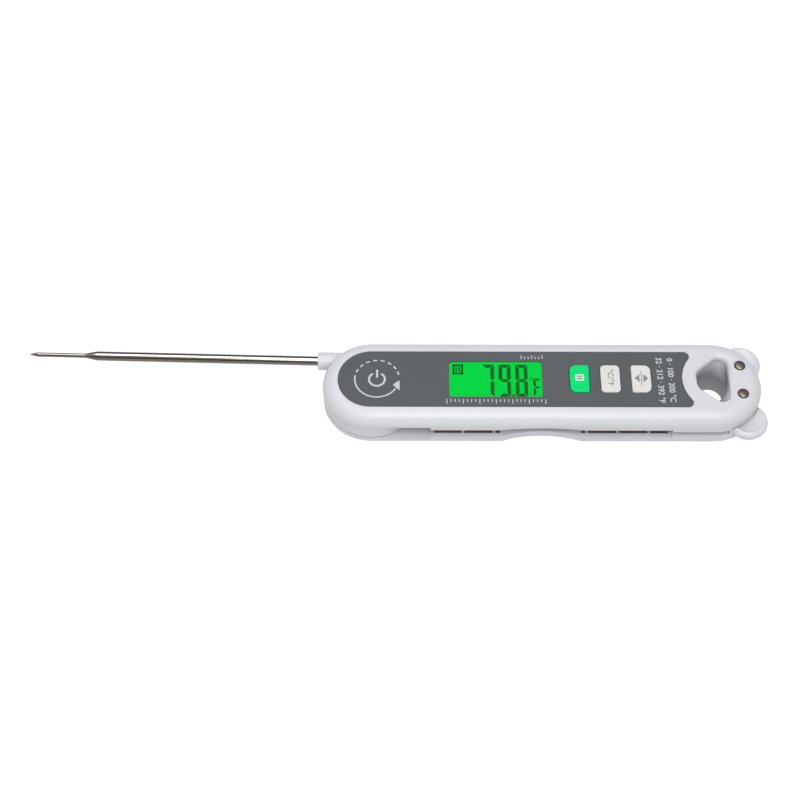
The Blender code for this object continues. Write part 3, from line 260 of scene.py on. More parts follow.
def rounded_rectangle(cx, cy, sx, sy, radii, steps=8):
    """Radii at the corners +x+y, -x+y, -x-y and +x-y."""
    points = []
    for i, (u, v) in enumerate(((1, 1), (-1, 1), (-1, -1), (1, -1))):
        r = radii[i]
        points += arc(cx + u * (sx / 2 - r), cy + v * (sy / 2 - r), r, 90 * i, 90 * i + 90, steps)
    return points


def plate(name, outline, top, bottom):
    """Flat plate of an outline between two heights."""
    bm = bmesh.new()
    face = bm.faces.new([bm.verts.new((x, y, bottom)) for x, y in outline])
    result = bmesh.ops.extrude_face_region(bm, geom=[face])
    verts = [v for v in result["geom"] if isinstance(v, bmesh.types.BMVert)]
    bmesh.ops.translate(bm, verts=verts, vec=(0, 0, top - bottom))
    return finish_mesh(bm, name)


def soften_top(piece, top, width, segments):
    """Round over the edges that lie at the top of a plate."""
    bm = bmesh.new()
    bm.from_mesh(piece.data)
    rim = [e for e in bm.edges if all(v.co.z > top - 1e-6 for v in e.verts)]
    bmesh.ops.bevel(bm, geom=rim, offset=width, segments=segments, profile=0.5,
                    affect="EDGES", material=-1)
    bm.to_mesh(piece.data)
    bm.free()


def block(name, x0, x1, y0, y1, z0, z1):
    bm = bmesh.new()
    bmesh.ops.create_cube(bm, size=1.0)
    bmesh.ops.scale(bm, vec=(x1 - x0, y1 - y0, z1 - z0), verts=bm.verts)
    bmesh.ops.translate(bm, vec=((x0 + x1) / 2, (y0 + y1) / 2, (z0 + z1) / 2), verts=bm.verts)
    return finish_mesh(bm, name)


def drum(name, x, y, radius, z0, z1, segments=64):
    bm = bmesh.new()
    bmesh.ops.create_cone(bm, cap_ends=True, segments=segments, radius1=radius,
                          radius2=radius, depth=z1 - z0)
    bmesh.ops.translate(bm, vec=(x, y, (z0 + z1) / 2), verts=bm.verts)
    return finish_mesh(bm, name)


def chain(bm, points):
    """Edges through a run of points."""
    verts = [bm.verts.new(p) for p in points]
    edges = [bm.edges.new(pair) for pair in zip(verts, verts[1:])]
    return verts + edges


def turn(name, profile, centre, axis=(0, 0, 1), steps=96):
    """Spin a profile of (radius, height) pairs fully round a vertical axis."""
    bm = bmesh.new()
    geom = chain(bm, [(r, 0, z) for r, z in profile])
    bmesh.ops.spin(bm, geom=geom, cent=(0, 0, 0), axis=(0, 0, 1), angle=2 * math.pi,
                   steps=steps, use_merge=True)
    bmesh.ops.remove_doubles(bm, verts=bm.verts, dist=WELD)
    if axis != (0, 0, 1):
        turn_to = Vector((0, 0, 1)).rotation_difference(Vector(axis)).to_matrix()
        bmesh.ops.rotate(bm, cent=(0, 0, 0), matrix=turn_to, verts=bm.verts)
    bmesh.ops.translate(bm, vec=centre, verts=bm.verts)
    return finish_mesh(bm, name)


def sweep_body(name, profile):
    """Carry a profile of (half width, height) pairs round the whole body outline."""
    bm = bmesh.new()
    geom = chain(bm, [(HEAD_X, -r, z) for r, z in profile])
    run = Vector((-HEAD_X, 0, 0))
    for centre in ((HEAD_X, 0, 0), (0, 0, 0)):
        spun = bmesh.ops.spin(bm, geom=geom, cent=centre, axis=(0, 0, 1), angle=math.pi,
                              steps=72)["geom_last"]
        edges = [g for g in spun if isinstance(g, bmesh.types.BMEdge)]
        out = bmesh.ops.extrude_edge_only(bm, edges=edges)["geom"]
        verts = [g for g in out if isinstance(g, bmesh.types.BMVert)]
        bmesh.ops.translate(bm, vec=run, verts=verts)
        geom = [g for g in out if not isinstance(g, bmesh.types.BMFace)]
        run = -run
    bmesh.ops.remove_doubles(bm, verts=bm.verts, dist=WELD)
    open_edges = [e for e in bm.edges if len(e.link_faces) == 1]
    bmesh.ops.edgeloop_fill(bm, edges=open_edges)
    return finish_mesh(bm, name)


def label_outline(grow=0.0):
    label = settings().label
    half = LABEL_HIGH.y + grow
    hollow = label.arc_radius - grow
    r = label.corner + grow
    run = math.sqrt((hollow + r) ** 2 - (half - r) ** 2)
    corner_x = label.arc_x - run
    meet = math.degrees(math.atan2(half - r, run))
    points = arc(0, 0, half, 90, 270, 72)
    points += arc(corner_x, -(half - r), r, -90, meet, 14)
    points += arc(label.arc_x, 0, hollow, 180 + meet, 180 - meet, 36)[1:-1]
    points += arc(corner_x, half - r, r, -meet, 90, 14)
    return points


def stadium(grow=0.0, steps=72):
    r = HALF_WIDTH + grow
    return arc(HEAD_X, 0, r, -90, 90, steps) + arc(0, 0, r, 90, 270, steps)


def bay_outline():
    """Round room of the hub with the straight side that lets the sleeve fold away."""
    radius = settings().shell.bay_radius
    wall, side = -9.84 * MM, 21.8 * MM
    meet = math.degrees(math.asin(wall / radius))
    return [(side, wall)] + arc(0, 0, radius, meet, 270, 144) + [(0, OUTSIDE), (side, OUTSIDE)]


HOLE_STEPS = 96
HOLE_LEFT = (124.0 * MM, 1.3 * MM, 4.4 * MM)     # corner circles: X, Y either side, radius
HOLE_RIGHT = (128.4 * MM, 6.75 * MM, 3.0 * MM)
HOLE_X = 125.7 * MM
WAIST_DEPTH, WAIST_RADIUS = 8.0 * MM, 6.3 * MM
EXIT_X, EXIT_RADIUS = 125.9 * MM, 5.1 * MM


def rim_width(point):
    """Width of the soft rim: broad on the far side, tight on the near side."""
    tight, spread = 0.45 * MM, 2.0 * MM
    broadest = Vector((0.34, 0.94))
    away = Vector((point[0] - HOLE_X, point[1])).normalized()
    return tight + spread * max(0.0, 0.30 + 0.70 * away.dot(broadest))


def rim_ring(t):
    """Ring of the mouth's round-over, from the face (t=0) to the wall (t=1)."""
    wall = hole_mouth()
    a = math.radians(90 * t)
    ring = []
    for i, point in enumerate(wall):
        before, after = wall[i - 1], wall[(i + 1) % len(wall)]
        out = Vector((after[1] - before[1], before[0] - after[0])).normalized()
        rim = rim_width(point)
        width = rim * (1 - math.sin(a))
        ring.append((point[0] + out.x * width, point[1] + out.y * width,
                     at_depth(rim * (1 - math.cos(a)))))
    return ring


def hole_mouth():
    """Rounded triangle of the hole's mouth, evenly spaced points starting at +X."""
    circles = [(x, s * y, r) for x, y, r in (HOLE_LEFT, HOLE_RIGHT) for s in (1, -1)]
    loop = []
    for u, v in arc(0, 0, 1, 0, 360, 720)[:-1]:
        x, y, r = max(circles, key=lambda c: c[0] * u + c[1] * v + c[2])
        loop.append((x + r * u, y + r * v))
    loop.append(loop[0])
    runs = [math.dist(p, q) for p, q in zip(loop, loop[1:])]
    points = []
    k = 0
    gone = 0.0
    for i in range(HOLE_STEPS):
        target = sum(runs) * i / HOLE_STEPS
        while k < len(runs) - 1 and gone + runs[k] < target:
            gone += runs[k]
            k += 1
        t = (target - gone) / runs[k] if runs[k] else 0.0
        points.append(between(loop[k], loop[k + 1], t))
    return points


def hole_funnel(name):
    """Cutter for the hanging hole: soft mouth, waist at the joint line, round exit."""
    stations = [[(x, y, level) for x, y, z in rim_ring(0)]
                for level in (TOP + OVER, TOP + 0.01 * MM)]
    stations += [rim_ring(0.02)] + [rim_ring(i / 8) for i in range(1, 9)]
    low = arc(HOLE_X, 0, WAIST_RADIUS, 0, 360, HOLE_STEPS)[:-1]
    high = stations[-1]
    for i in range(1, 9):
        t = i / 8
        ease = t * t * (3 - 2 * t) * 0.35 + t * 0.65
        stations.append([(*between(p, q, ease), p[2] + (at_depth(WAIST_DEPTH) - p[2]) * t)
                         for p, q in zip(high, low)])
    for level in (at_depth(TOP), -OVER):
        stations.append([(x, y, level) for x, y in
                         arc(EXIT_X, 0, EXIT_RADIUS, 0, 360, HOLE_STEPS)[:-1]])
    bm = bmesh.new()
    loops = []
    for outline in stations:
        ring = bmesh.ops.create_circle(bm, segments=HOLE_STEPS, radius=1.0)["verts"]
        for vert, place_at in zip(ring, outline):
            vert.co = place_at
        loops.append(ring)
    for upper, lower in zip(loops, loops[1:]):
        for i in range(HOLE_STEPS):
            j = (i + 1) % HOLE_STEPS
            bm.faces.new((upper[i], lower[i], lower[j], upper[j]))
    bm.faces.new(loops[0])
    bm.faces.new(loops[-1])
    return finish_mesh(bm, name)


# ---------------------------------------------------------------- materials

class Look:
    """Node tree of a material or of the world, with short calls for what looks share."""

    def __init__(self, owner):
        owner.use_nodes = True
        self.owner = owner
        self.nodes, self.links = owner.node_tree.nodes, owner.node_tree.links
        self.shader = self.nodes.get("Principled BSDF")

    def feed(self, node, **inputs):
        """Link or set inputs; an underscore stands for a space in their names."""
        for name, value in inputs.items():
            socket = node.inputs[name.replace("_", " ")]
            if isinstance(value, bpy.types.NodeSocket):
                self.links.new(value, socket)
            elif socket.type == "RGBA":
                socket.default_value = (*value, 1)
            else:
                socket.default_value = value

    def add(self, kind, output, **inputs):
        node = self.nodes.new("ShaderNode" + kind)
        self.feed(node, **inputs)
        return node.outputs[output]

    def coordinates(self, scale=(1, 1, 1), turn_z=0.0):
        return self.add("Mapping", "Vector", Vector=self.add("TexCoord", "Object"),
                        Scale=scale, Rotation=(0, 0, turn_z))

    def axes(self, turn_z=0.0):
        """Object coordinates as separate X, Y and Z."""
        return self.split(self.coordinates(turn_z=turn_z))

    def split(self, vector):
        node = self.nodes.new("ShaderNodeSeparateXYZ")
        self.feed(node, Vector=vector)
        return node.outputs

    def noise(self, scale, detail=2, roughness=0.5, vector=None):
        if vector is None:
            vector = self.coordinates()
        return self.add("TexNoise", "Fac", Vector=vector, Scale=scale, Detail=detail,
                        Roughness=roughness)

    def ramp(self, value, low, high, start=0.3, end=0.7):
        node = self.nodes.new("ShaderNodeValToRGB")
        for stop, position, tint in zip(node.color_ramp.elements, (start, end), (low, high)):
            stop.position = position
            stop.color = (*tint, 1)
        self.feed(node, Fac=value)
        return node.outputs["Color"]

    def to_range(self, value, low, high, start=0.3, end=0.7):
        return self.add("MapRange", "Result", Value=value, From_Min=start, From_Max=end,
                        To_Min=low, To_Max=high)

    def maths(self, operation, first, second):
        node = self.nodes.new("ShaderNodeMath")
        node.operation = operation
        for socket, value in zip(node.inputs, (first, second)):
            if isinstance(value, float):
                socket.default_value = value
            else:
                self.links.new(value, socket)
        return node.outputs[0]

    def product(self, first, *others):
        """All the masks multiplied together."""
        for other in others:
            first = self.maths("MULTIPLY", first, other)
        return first

    def within(self, value, low, high, soft):
        """1 between low and high, falling to 0 over the soft width outside."""
        return self.product(self.to_range(value, 0.0, 1.0, low - soft, low),
                            self.to_range(value, 1.0, 0.0, high, high + soft))

    def mix(self, mask, under, over):
        node = self.nodes.new("ShaderNodeMix")
        node.data_type = "RGBA"
        self.feed(node, Factor=mask, A=under, B=over)
        return node.outputs["Result"]

    def tint(self, mask, over):
        """Mix a tint into the base colour where the mask is set."""
        base = self.shader.inputs["Base Color"].links[0].from_socket
        self.feed(self.shader, Base_Color=self.mix(mask, base, over))

    def bump(self, value, strength, distance):
        normal = self.add("Bump", "Normal", Height=value, Strength=strength, Distance=distance)
        self.feed(self.shader, Normal=normal)


def new_look(name):
    return Look(bpy.data.materials.new(name))


def darker(value, factor):
    return tuple(channel * factor for channel in value)


def moulded_plastic(name, base, roughness=0.3, coat=0.05, specular=0.25):
    """Injection-moulded plastic: faint flow variation, fine surface grain."""
    look = new_look(name)
    fine = look.noise(3600, 3, 0.6)
    look.feed(look.shader, Base_Color=look.ramp(look.noise(45), darker(base, 0.975), base),
              Roughness=look.to_range(fine, roughness * 0.85, roughness * 1.15),
              Coat_Weight=coat, Coat_Roughness=0.3, Specular_IOR_Level=specular)
    look.bump(fine, 0.12, 0.02 * MM)
    return look


def painted_hole_shade(look):
    """Painted shade down inside the hanging hole, darker with depth, kept off the back face."""
    reach = look.nodes.new("ShaderNodeVectorMath")
    reach.operation = "DISTANCE"
    look.links.new(look.coordinates((1, 1, 0)), reach.inputs[0])
    reach.inputs[1].default_value = (HOLE_X, 0, 0)
    height = look.axes()["Z"]
    near = look.to_range(reach.outputs["Value"], 1.0, 0.0, 10.5 * MM, 11 * MM)
    deep = look.to_range(height, 1.0, 0.0, TOP - 4.5 * MM, TOP - 0.6 * MM)
    above_back = look.to_range(height, 0.0, 1.0, 0.1 * MM, 0.3 * MM)
    # painted shade colour mixed in where the wall lies near the hole, deep down and above the
    # back face
    look.tint(look.product(near, deep, above_back), (0.20, 0.20, 0.212))


def painted_pocket_shade(look):
    """Painted warm shade at the bottom of the probe slot's pockets, where the slot lies in
    shadow.
    """
    axes = look.axes()
    shell = settings().shell
    soft = 0.05 * MM
    low = look.within(axes["Z"], 0.5 * MM, at_depth(shell.slot_floor) - 0.25 * MM, 0.2 * MM)
    across = look.within(axes["Y"], -HALF_WIDTH + shell.lip_width, -11.3 * MM, soft)
    near = look.within(axes["X"], 23 * MM, PLAIN_SLOT[0], soft)
    far = look.within(axes["X"], PLAIN_SLOT[1], SLOT_CHANGE, soft)
    mask = look.product(low, across, look.maths("MAXIMUM", near, far))
    # painted shade colour mixed into the pockets below the slot floor
    look.tint(mask, (0.13, 0.10, 0.085))


def housing_plastic(name, base):
    look = moulded_plastic(name, base, 0.34)
    # painted shade inside the hanging hole
    painted_hole_shade(look)
    return look


def printed_film(name, base):
    """Satin polyester overlay with a fine matt texture."""
    look = new_look(name)
    grain = look.noise(5200, 2, 0.7)
    cloud = look.ramp(look.noise(30), darker(base, 0.96), darker(base, 1.04))
    look.feed(look.shader, Base_Color=cloud, Roughness=look.to_range(grain, 0.42, 0.56),
              Specular_IOR_Level=0.15)
    look.bump(grain, 0.1, 0.02 * MM)
    return look


def ink(name, base):
    look = new_look(name)
    speckle = look.noise(7000)
    look.feed(look.shader, Base_Color=look.ramp(speckle, darker(base, 0.9), base),
              Roughness=look.to_range(speckle, 0.45, 0.6), Specular_IOR_Level=0.1)
    return look


def glowing_display(name, glow):
    """Even green backlight with a faint cloud in it."""
    look = new_look(name)
    cloud = look.ramp(look.noise(60), darker(glow, 0.97), glow, 0.25, 0.75)
    look.feed(look.shader, Base_Color=darker(glow, 0.02), Emission_Color=cloud,
              Emission_Strength=1.0, Specular_IOR_Level=0.0, Roughness=0.6)
    return look


def clear_window(name):
    look = new_look(name)
    haze = look.noise(400)
    look.feed(look.shader, Base_Color=(0.1, 0.5, 0.2), Specular_IOR_Level=0.1,
              Alpha=look.to_range(haze, 0.005, 0.015), Roughness=look.to_range(haze, 0.05, 0.12))
    return look


def drawn_steel(name, base, along=(1, 0, 0), turn_z=0.0, roughness=0.2):
    """Steel polished along one direction: long fine streaks."""
    look = new_look(name)
    stretch = tuple(60 if a else 2600 for a in along)
    streak = look.noise(1.0, 3, 0.6, look.coordinates(stretch, turn_z))
    look.feed(look.shader, Base_Color=look.ramp(streak, darker(base, 0.88), base),
              Roughness=look.to_range(streak, roughness * 0.8, roughness * 1.3), Metallic=1.0)
    look.bump(streak, 0.06, 0.01 * MM)
    return look


def rubber(name, base):
    look = new_look(name)
    grain = look.noise(3000, 3)
    look.feed(look.shader, Base_Color=look.ramp(grain, darker(base, 0.8), base),
              Roughness=look.to_range(grain, 0.6, 0.8))
    look.bump(grain, 0.2, 0.03 * MM)
    return look


def board_laminate(name):
    """Green solder mask with copper tracks showing through."""
    look = new_look(name)
    brick = look.nodes.new("ShaderNodeTexBrick")
    look.feed(brick, Vector=look.coordinates((380, 260, 260)), Color1=(0.02, 0.16, 0.05),
              Color2=(0.03, 0.2, 0.06), Mortar=(0.06, 0.3, 0.1), Mortar_Size=0.03, Scale=1.0)
    look.feed(look.shader, Base_Color=brick.outputs["Color"], Roughness=0.35)
    look.bump(brick.outputs["Fac"], 0.3, 0.03 * MM)
    return look


def wear(piece, look):
    """Give a piece this material and no other."""
    piece.data.materials.clear()
    piece.data.materials.append(look.owner)


def place(piece, body, look, slot, *replaced):
    wear(piece, look)
    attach(piece, body)
    if replaced:
        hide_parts(*replaced)
    return piece


def dress_node(node, look):
    """Give a solid that keeps its own shape a finished material."""
    piece = frame["nodes"][node]
    wear(piece, look)
    for polygon in piece.data.polygons:
        polygon.material_index = 0


SHARED = {}


def shared(name, maker, *values):
    """One material made once and used by several pieces."""
    if name not in SHARED:
        SHARED[name] = maker(name, *values)
    return SHARED[name]


def shell_plastic():
    return shared("White shell plastic", housing_plastic, tuple(settings().shell.plastic))


def key_print():
    return shared("Key print", ink, (0.19, 0.19, 0.185))


# ---------------------------------------------------------------- operators

class BuildFrontShell(bpy.types.Operator):
    """Front half of the housing, with its large soft edge and every opening"""
    bl_idname = "thermometer.front_shell"
    bl_label = "Front shell"

    def execute(self, context):
        s = settings().shell
        joint = at_depth(s.parting_depth)
        r = s.edge_radius
        profile = arc(HALF_WIDTH - r, TOP - r, r, 90, 0, 18)
        profile += [(HALF_WIDTH, joint + JOINT_BEVEL), (HALF_WIDTH - JOINT_BEVEL, joint)]
        shell = sweep_body("front_shell_skin", profile)
        low = joint - OVER
        cutters = [
            plate("bay", bay_outline(), HUB_HIGH.z + 0.3 * MM, low),
            block("shaft_slot", SLOT_START, SHAFT_SLOT_END, OUTSIDE, SHAFT_WALL, low,
                  at_depth(SHAFT_ROOF)),
            block("needle_slot", SLOT_CHANGE, 131.5 * MM, OUTSIDE, NEEDLE_WALL, low,
                  at_depth(NEEDLE_ROOF)),
            plate("label_seat", label_outline(0.15 * MM), TOP + OVER, at_depth(s.label_depth)),
            self.window_opening("window_well", -1.2 * MM, at_depth(3 * MM), at_depth(1 * MM)),
            self.window_opening("window_seat", 0.2 * MM, at_depth(1.4 * MM), TOP + OVER),
            hole_funnel("hanging_hole"),
            plate("cavity", self.cavity(), at_depth(2.2 * MM), low),
            self.scoop(),
        ]
        for i in (1, 2, 3):
            hole = key_outline(i, centre_of("button_%d" % i)[0], 0.3 * MM)
            cutters.append(plate("key_hole_%d" % i, hole, TOP + OVER, at_depth(3 * MM)))
        sx, sy = middle(STUD_LOW, STUD_HIGH)
        for y in (sy, -sy):
            cutters.append(drum("stud_seat", sx, y, 2.2 * MM, at_depth(0.4 * MM), TOP + OVER))
        carve(shell, cutters)
        smooth(shell)
        place(shell, HOUSING, shell_plastic(), "housing_white", "front_shell")
        return {"FINISHED"}

    def window_opening(self, name, grow, low, high):
        return block(name, WINDOW_LOW.x - grow, WINDOW_HIGH.x + grow, WINDOW_LOW.y - grow,
                     WINDOW_HIGH.y + grow, low, high)

    def cavity(self):
        """Outline of the room behind the label, round towards the hub."""
        near, far, end = -9.39 * MM, 15.8 * MM, 112 * MM
        radius = 20.0 * MM
        points = arc(0, 0, radius, math.degrees(math.asin(far / radius)),
                     math.degrees(math.asin(near / radius)), 24)
        return points + [(end, near), (end, far)]

    def scoop(self):
        """Shallow arch in the lower edge beside the thumb notch."""
        rise = 1.4 * MM
        radius = bow_radius(NOTCH_HALF, rise)
        bm = bmesh.new()
        bmesh.ops.create_cone(bm, cap_ends=True, segments=360, radius1=radius, radius2=radius,
                              depth=4 * MM)
        bmesh.ops.rotate(bm, cent=(0, 0, 0), matrix=Matrix.Rotation(math.radians(90), 3, "X"),
                         verts=bm.verts)
        top = at_depth(SHAFT_ROOF) + rise
        bmesh.ops.translate(bm, vec=(NOTCH_X, -HALF_WIDTH, top - radius), verts=bm.verts)
        return finish_mesh(bm, "scoop")


class BuildBackCover(bpy.types.Operator):
    """Back half of the housing with the probe slot, its ribs, the thumb notch and the ears"""
    bl_idname = "thermometer.back_cover"
    bl_label = "Back cover"

    def execute(self, context):
        s = settings().shell
        high = at_depth(s.parting_depth + JOINT_GAP)
        r = s.back_radius
        profile = [(HALF_WIDTH - JOINT_BEVEL, high), (HALF_WIDTH, high - JOINT_BEVEL)]
        profile += arc(HALF_WIDTH - r, r, r, 0, -90, 6)
        cover = sweep_body("back_cover_skin", profile)
        above = at_depth(7 * MM)
        floor = at_depth(s.slot_floor)
        lip, pocket_wall = -HALF_WIDTH + s.lip_width, -11.29 * MM
        pocket_floor = at_depth(13.2 * MM)
        cutters = [
            plate("bay", bay_outline(), above, HUB_LOW.z - 0.3 * MM),
            block("shaft_slot", SLOT_START, SHAFT_SLOT_END, OUTSIDE, SHAFT_WALL, floor, above),
            block("needle_slot", SLOT_CHANGE, 131.3 * MM, OUTSIDE, NEEDLE_WALL,
                  at_depth(NEEDLE_FLOOR), above),
            self.notch(above, -OVER),
        ]
        for i, (start, end) in enumerate(self.pockets()):
            cutters.append(block("pocket_%d" % i, start, end, lip, pocket_wall, pocket_floor,
                                 floor + OVER))
        cutters.append(drum("door_hole", *middle(DOOR_LOW, DOOR_HIGH), 12.1 * MM, -OVER,
                            2.6 * MM, 128))
        cutters.append(hole_funnel("hanging_hole"))
        for i in (1, 2, 3, 4):
            cutters.append(drum("screw_well_%d" % i, *centre_of("housing_screw_%d" % i),
                                2.3 * MM, -OVER, 1.3 * MM, 48))
        for side in (1, -1):
            carve(cover, [self.ear(side)], "UNION")
        carve(cover, cutters)
        smooth(cover)
        white = housing_plastic("White cover plastic", tuple(s.plastic))
        # painted shade in the pockets of the probe slot
        painted_pocket_shade(white)
        place(cover, HOUSING, white, "housing_white", "back_cover")
        return {"FINISHED"}

    def pockets(self):
        """X limits of the pockets between the ribs, none of them in the plain stretch."""
        rib_half = 0.5 * MM
        ribs = [(33.75 + 11.38 * i) * MM for i in range(7)]
        starts = [23.1 * MM] + [rib + rib_half for rib in ribs]
        ends = [rib - rib_half for rib in ribs] + [SLOT_CHANGE]
        plain_start, plain_end = PLAIN_SLOT
        for start, end in zip(starts, ends):
            if start < plain_start:
                yield start, min(end, plain_start)
            elif end > plain_end:
                yield max(start, plain_end), end

    def notch(self, above, under):
        """Cutter of the thumb notch: an arc in the near wall."""
        deep = 2.6 * MM
        radius = bow_radius(NOTCH_HALF, deep)
        cy = -HALF_WIDTH + deep - radius
        swing = math.degrees(math.asin(NOTCH_HALF / radius)) * 1.15
        points = arc(NOTCH_X, cy, radius, 90 - swing, 90 + swing, 64)
        base = -HALF_WIDTH - 3 * MM
        return plate("notch", points + [(points[-1][0], base), (points[0][0], base)],
                     above, under)

    def ear(self, side):
        """Dished round ear, kept clear of the front shell above the joint line."""
        x, y, radius = 138.2 * MM, 12.65 * MM, 7.5 * MM
        rim = 1.5 * MM
        half = 2.0 * MM
        top = at_depth(7.0 * MM)
        flat = radius - rim
        dish = 1.3 * MM
        profile = [(flat * i / 10, top - dish * (1 - (i / 10) ** 3)) for i in range(11)]
        profile += [(flat + rim * u, top - half + half * v)
                    for v, u in arc(0, 0, 1, 0, 180, 16)[1:-1]]
        profile += [(flat, top - 2 * half), (0, top - 2 * half)]
        piece = turn("ear", profile, (x, side * y, 0), steps=96)
        trim = plate("trim", stadium(0.25 * MM), top + OVER,
                     at_depth(settings().shell.parting_depth + JOINT_GAP))
        return carve(piece, [trim])


def key_outline(number, cx, grow=0.0):
    """Outline of a button: large radii at the outer ends of the row."""
    small, even, large = (r * MM + grow for r in (0.9, 1.6, 2.4))
    radii = ((small, large, large, small), (even,) * 4, (large, small, small, large))
    return rounded_rectangle(cx, 0, 7.2 * MM + 2 * grow, 11.95 * MM + 2 * grow,
                             radii[number - 1])


def flat_print(name, outlines, level=TOP):
    """Thin printed shapes, each one closed outline, as a single mesh."""
    bm = bmesh.new()
    for outline in outlines:
        face = bm.faces.new([bm.verts.new((x, y, level)) for x, y in outline])
        out = bmesh.ops.extrude_face_region(bm, geom=[face])
        verts = [v for v in out["geom"] if isinstance(v, bmesh.types.BMVert)]
        bmesh.ops.translate(bm, verts=verts, vec=(0, 0, PRINT))
    return finish_mesh(bm, name)


def band(cx, cy, radius, width, start, end, steps):
    outer = arc(cx, cy, radius + width / 2, start, end, steps)
    inner = arc(cx, cy, radius - width / 2, end, start, steps)
    return outer + inner


def bar(cx, cy, sx, sy):
    return [(cx - sx / 2, cy - sy / 2), (cx + sx / 2, cy - sy / 2),
            (cx + sx / 2, cy + sy / 2), (cx - sx / 2, cy + sy / 2)]


def lettering(name, text, size, place_at, level=TOP, spacing=1.0):
    """Plain figures turned to a mesh and laid on the face, reading along -Y."""
    curve = bpy.data.curves.new(name, "FONT")
    curve.body = text
    curve.size = size
    curve.align_x = "CENTER"
    curve.align_y = "CENTER"
    curve.extrude = PRINT / 2
    curve.space_character = spacing
    curve.offset = 0.018 * size
    guide = bpy.data.objects.new(name + "_guide", curve)
    bpy.context.scene.collection.objects.link(guide)
    bpy.context.view_layer.update()
    graph = bpy.context.evaluated_depsgraph_get()
    mesh = bpy.data.meshes.new_from_object(guide.evaluated_get(graph))
    bpy.data.objects.remove(guide, do_unlink=True)
    matrix = Matrix.Translation((*place_at, level + PRINT / 2))
    mesh.transform(matrix @ Matrix.Rotation(math.radians(-90), 4, "Z"))
    piece = bpy.data.objects.new(name, mesh)
    bpy.context.scene.collection.objects.link(piece)
    return piece


class BuildLabel(bpy.types.Operator):
    """Grey overlay with its plain printed signs"""
    bl_idname = "thermometer.label"
    bl_label = "Label"

    def execute(self, context):
        s = settings().label
        sheet = plate("label_sheet", label_outline(), TOP, LABEL_LOW.z)
        below = LABEL_LOW.z - OVER
        cx = middle(WINDOW_LOW, WINDOW_HIGH)[0]
        opening = rounded_rectangle(cx, 0, WINDOW_HIGH.x - WINDOW_LOW.x + 0.1 * MM,
                                    WINDOW_HIGH.y - WINDOW_LOW.y + 0.1 * MM, (0.9 * MM,) * 4)
        cutters = [plate("window_cut", opening, TOP + OVER, below)]
        for i in (1, 2, 3):
            hole = key_outline(i, centre_of("button_%d" % i)[0], 0.25 * MM)
            cutters.append(plate("key_cut_%d" % i, hole, TOP + OVER, below))
        carve(sheet, cutters)
        smooth(sheet, 40)
        film = printed_film("Grey label film", tuple(s.grey))
        place(sheet, HOUSING, film, "label_grey", "label_panel")
        white = shared("Label print", ink, tuple(s.print_grey))
        for sign in (self.ring(), self.power_sign(), self.scale_row()):
            place(sign, HOUSING, white, "label_grey")
        for name, text, x in (("figures_outer", "0 · 100 · 200 °C", 110.1 * MM),
                              ("figures_inner", "32 · 212 · 392 °F", 106.1 * MM)):
            figures = lettering(name, text, 3.0 * MM, (x, -0.35 * MM))
            place(figures, HOUSING, white, "label_grey")
        return {"FINISHED"}

    def ring(self):
        """Return arrow: dashed over the top, solid below, with a head."""
        s = settings().label
        x, r, w = s.ring_x, s.ring_radius, s.ring_line
        shapes = []
        for i in range(8):
            start = 12 + 19.6 * i
            shapes.append(band(x, 0, r, w, start, start + 10.5, 6))
        shapes.append(band(x, 0, r, w, 170, 328, 60))
        base = math.radians(331)
        out = Vector((math.cos(base), math.sin(base)))
        along = Vector((-out.y, out.x))
        heel = Vector((x, 0)) + out * r
        tip = heel + along * 3.4 * MM - out * 0.55 * MM
        inner = heel - out * 1.7 * MM + along * 0.5 * MM
        outer = heel + out * 1.7 * MM - along * 0.5 * MM
        shapes.append([inner, outer, tip])
        return flat_print("return_arrow", shapes)

    def power_sign(self):
        x = settings().label.ring_x
        shapes = [band(x, -0.3 * MM, 2.9 * MM, 0.75 * MM, 122, 418, 60),
                  bar(x, 2.2 * MM, 0.75 * MM, 3.6 * MM)]
        return flat_print("power_sign", shapes)

    def scale_row(self):
        """Plain tick scale under the display and a short one over it."""
        shapes = []
        x0, x1 = WINDOW_LOW.x - 1.0 * MM, WINDOW_HIGH.x + 1.0 * MM
        count = 24
        for i in range(count + 1):
            x = x0 + (x1 - x0) * i / count
            tall = 1.9 * MM if i % 4 == 0 else 1.2 * MM
            shapes.append(bar(x, -9.0 * MM - tall / 2, 0.32 * MM, tall))
        for i in range(7):
            x = x1 - 8.4 * MM + 1.3 * MM * i
            tall = 1.7 * MM if i % 3 == 0 else 1.1 * MM
            shapes.append(bar(x, 8.9 * MM + tall / 2, 0.32 * MM, tall))
        return flat_print("tick_scale", shapes)


SEGMENTS = {"7": "abc", "9": "abcdfg", "8": "abcdefg", "F": "aefg"}


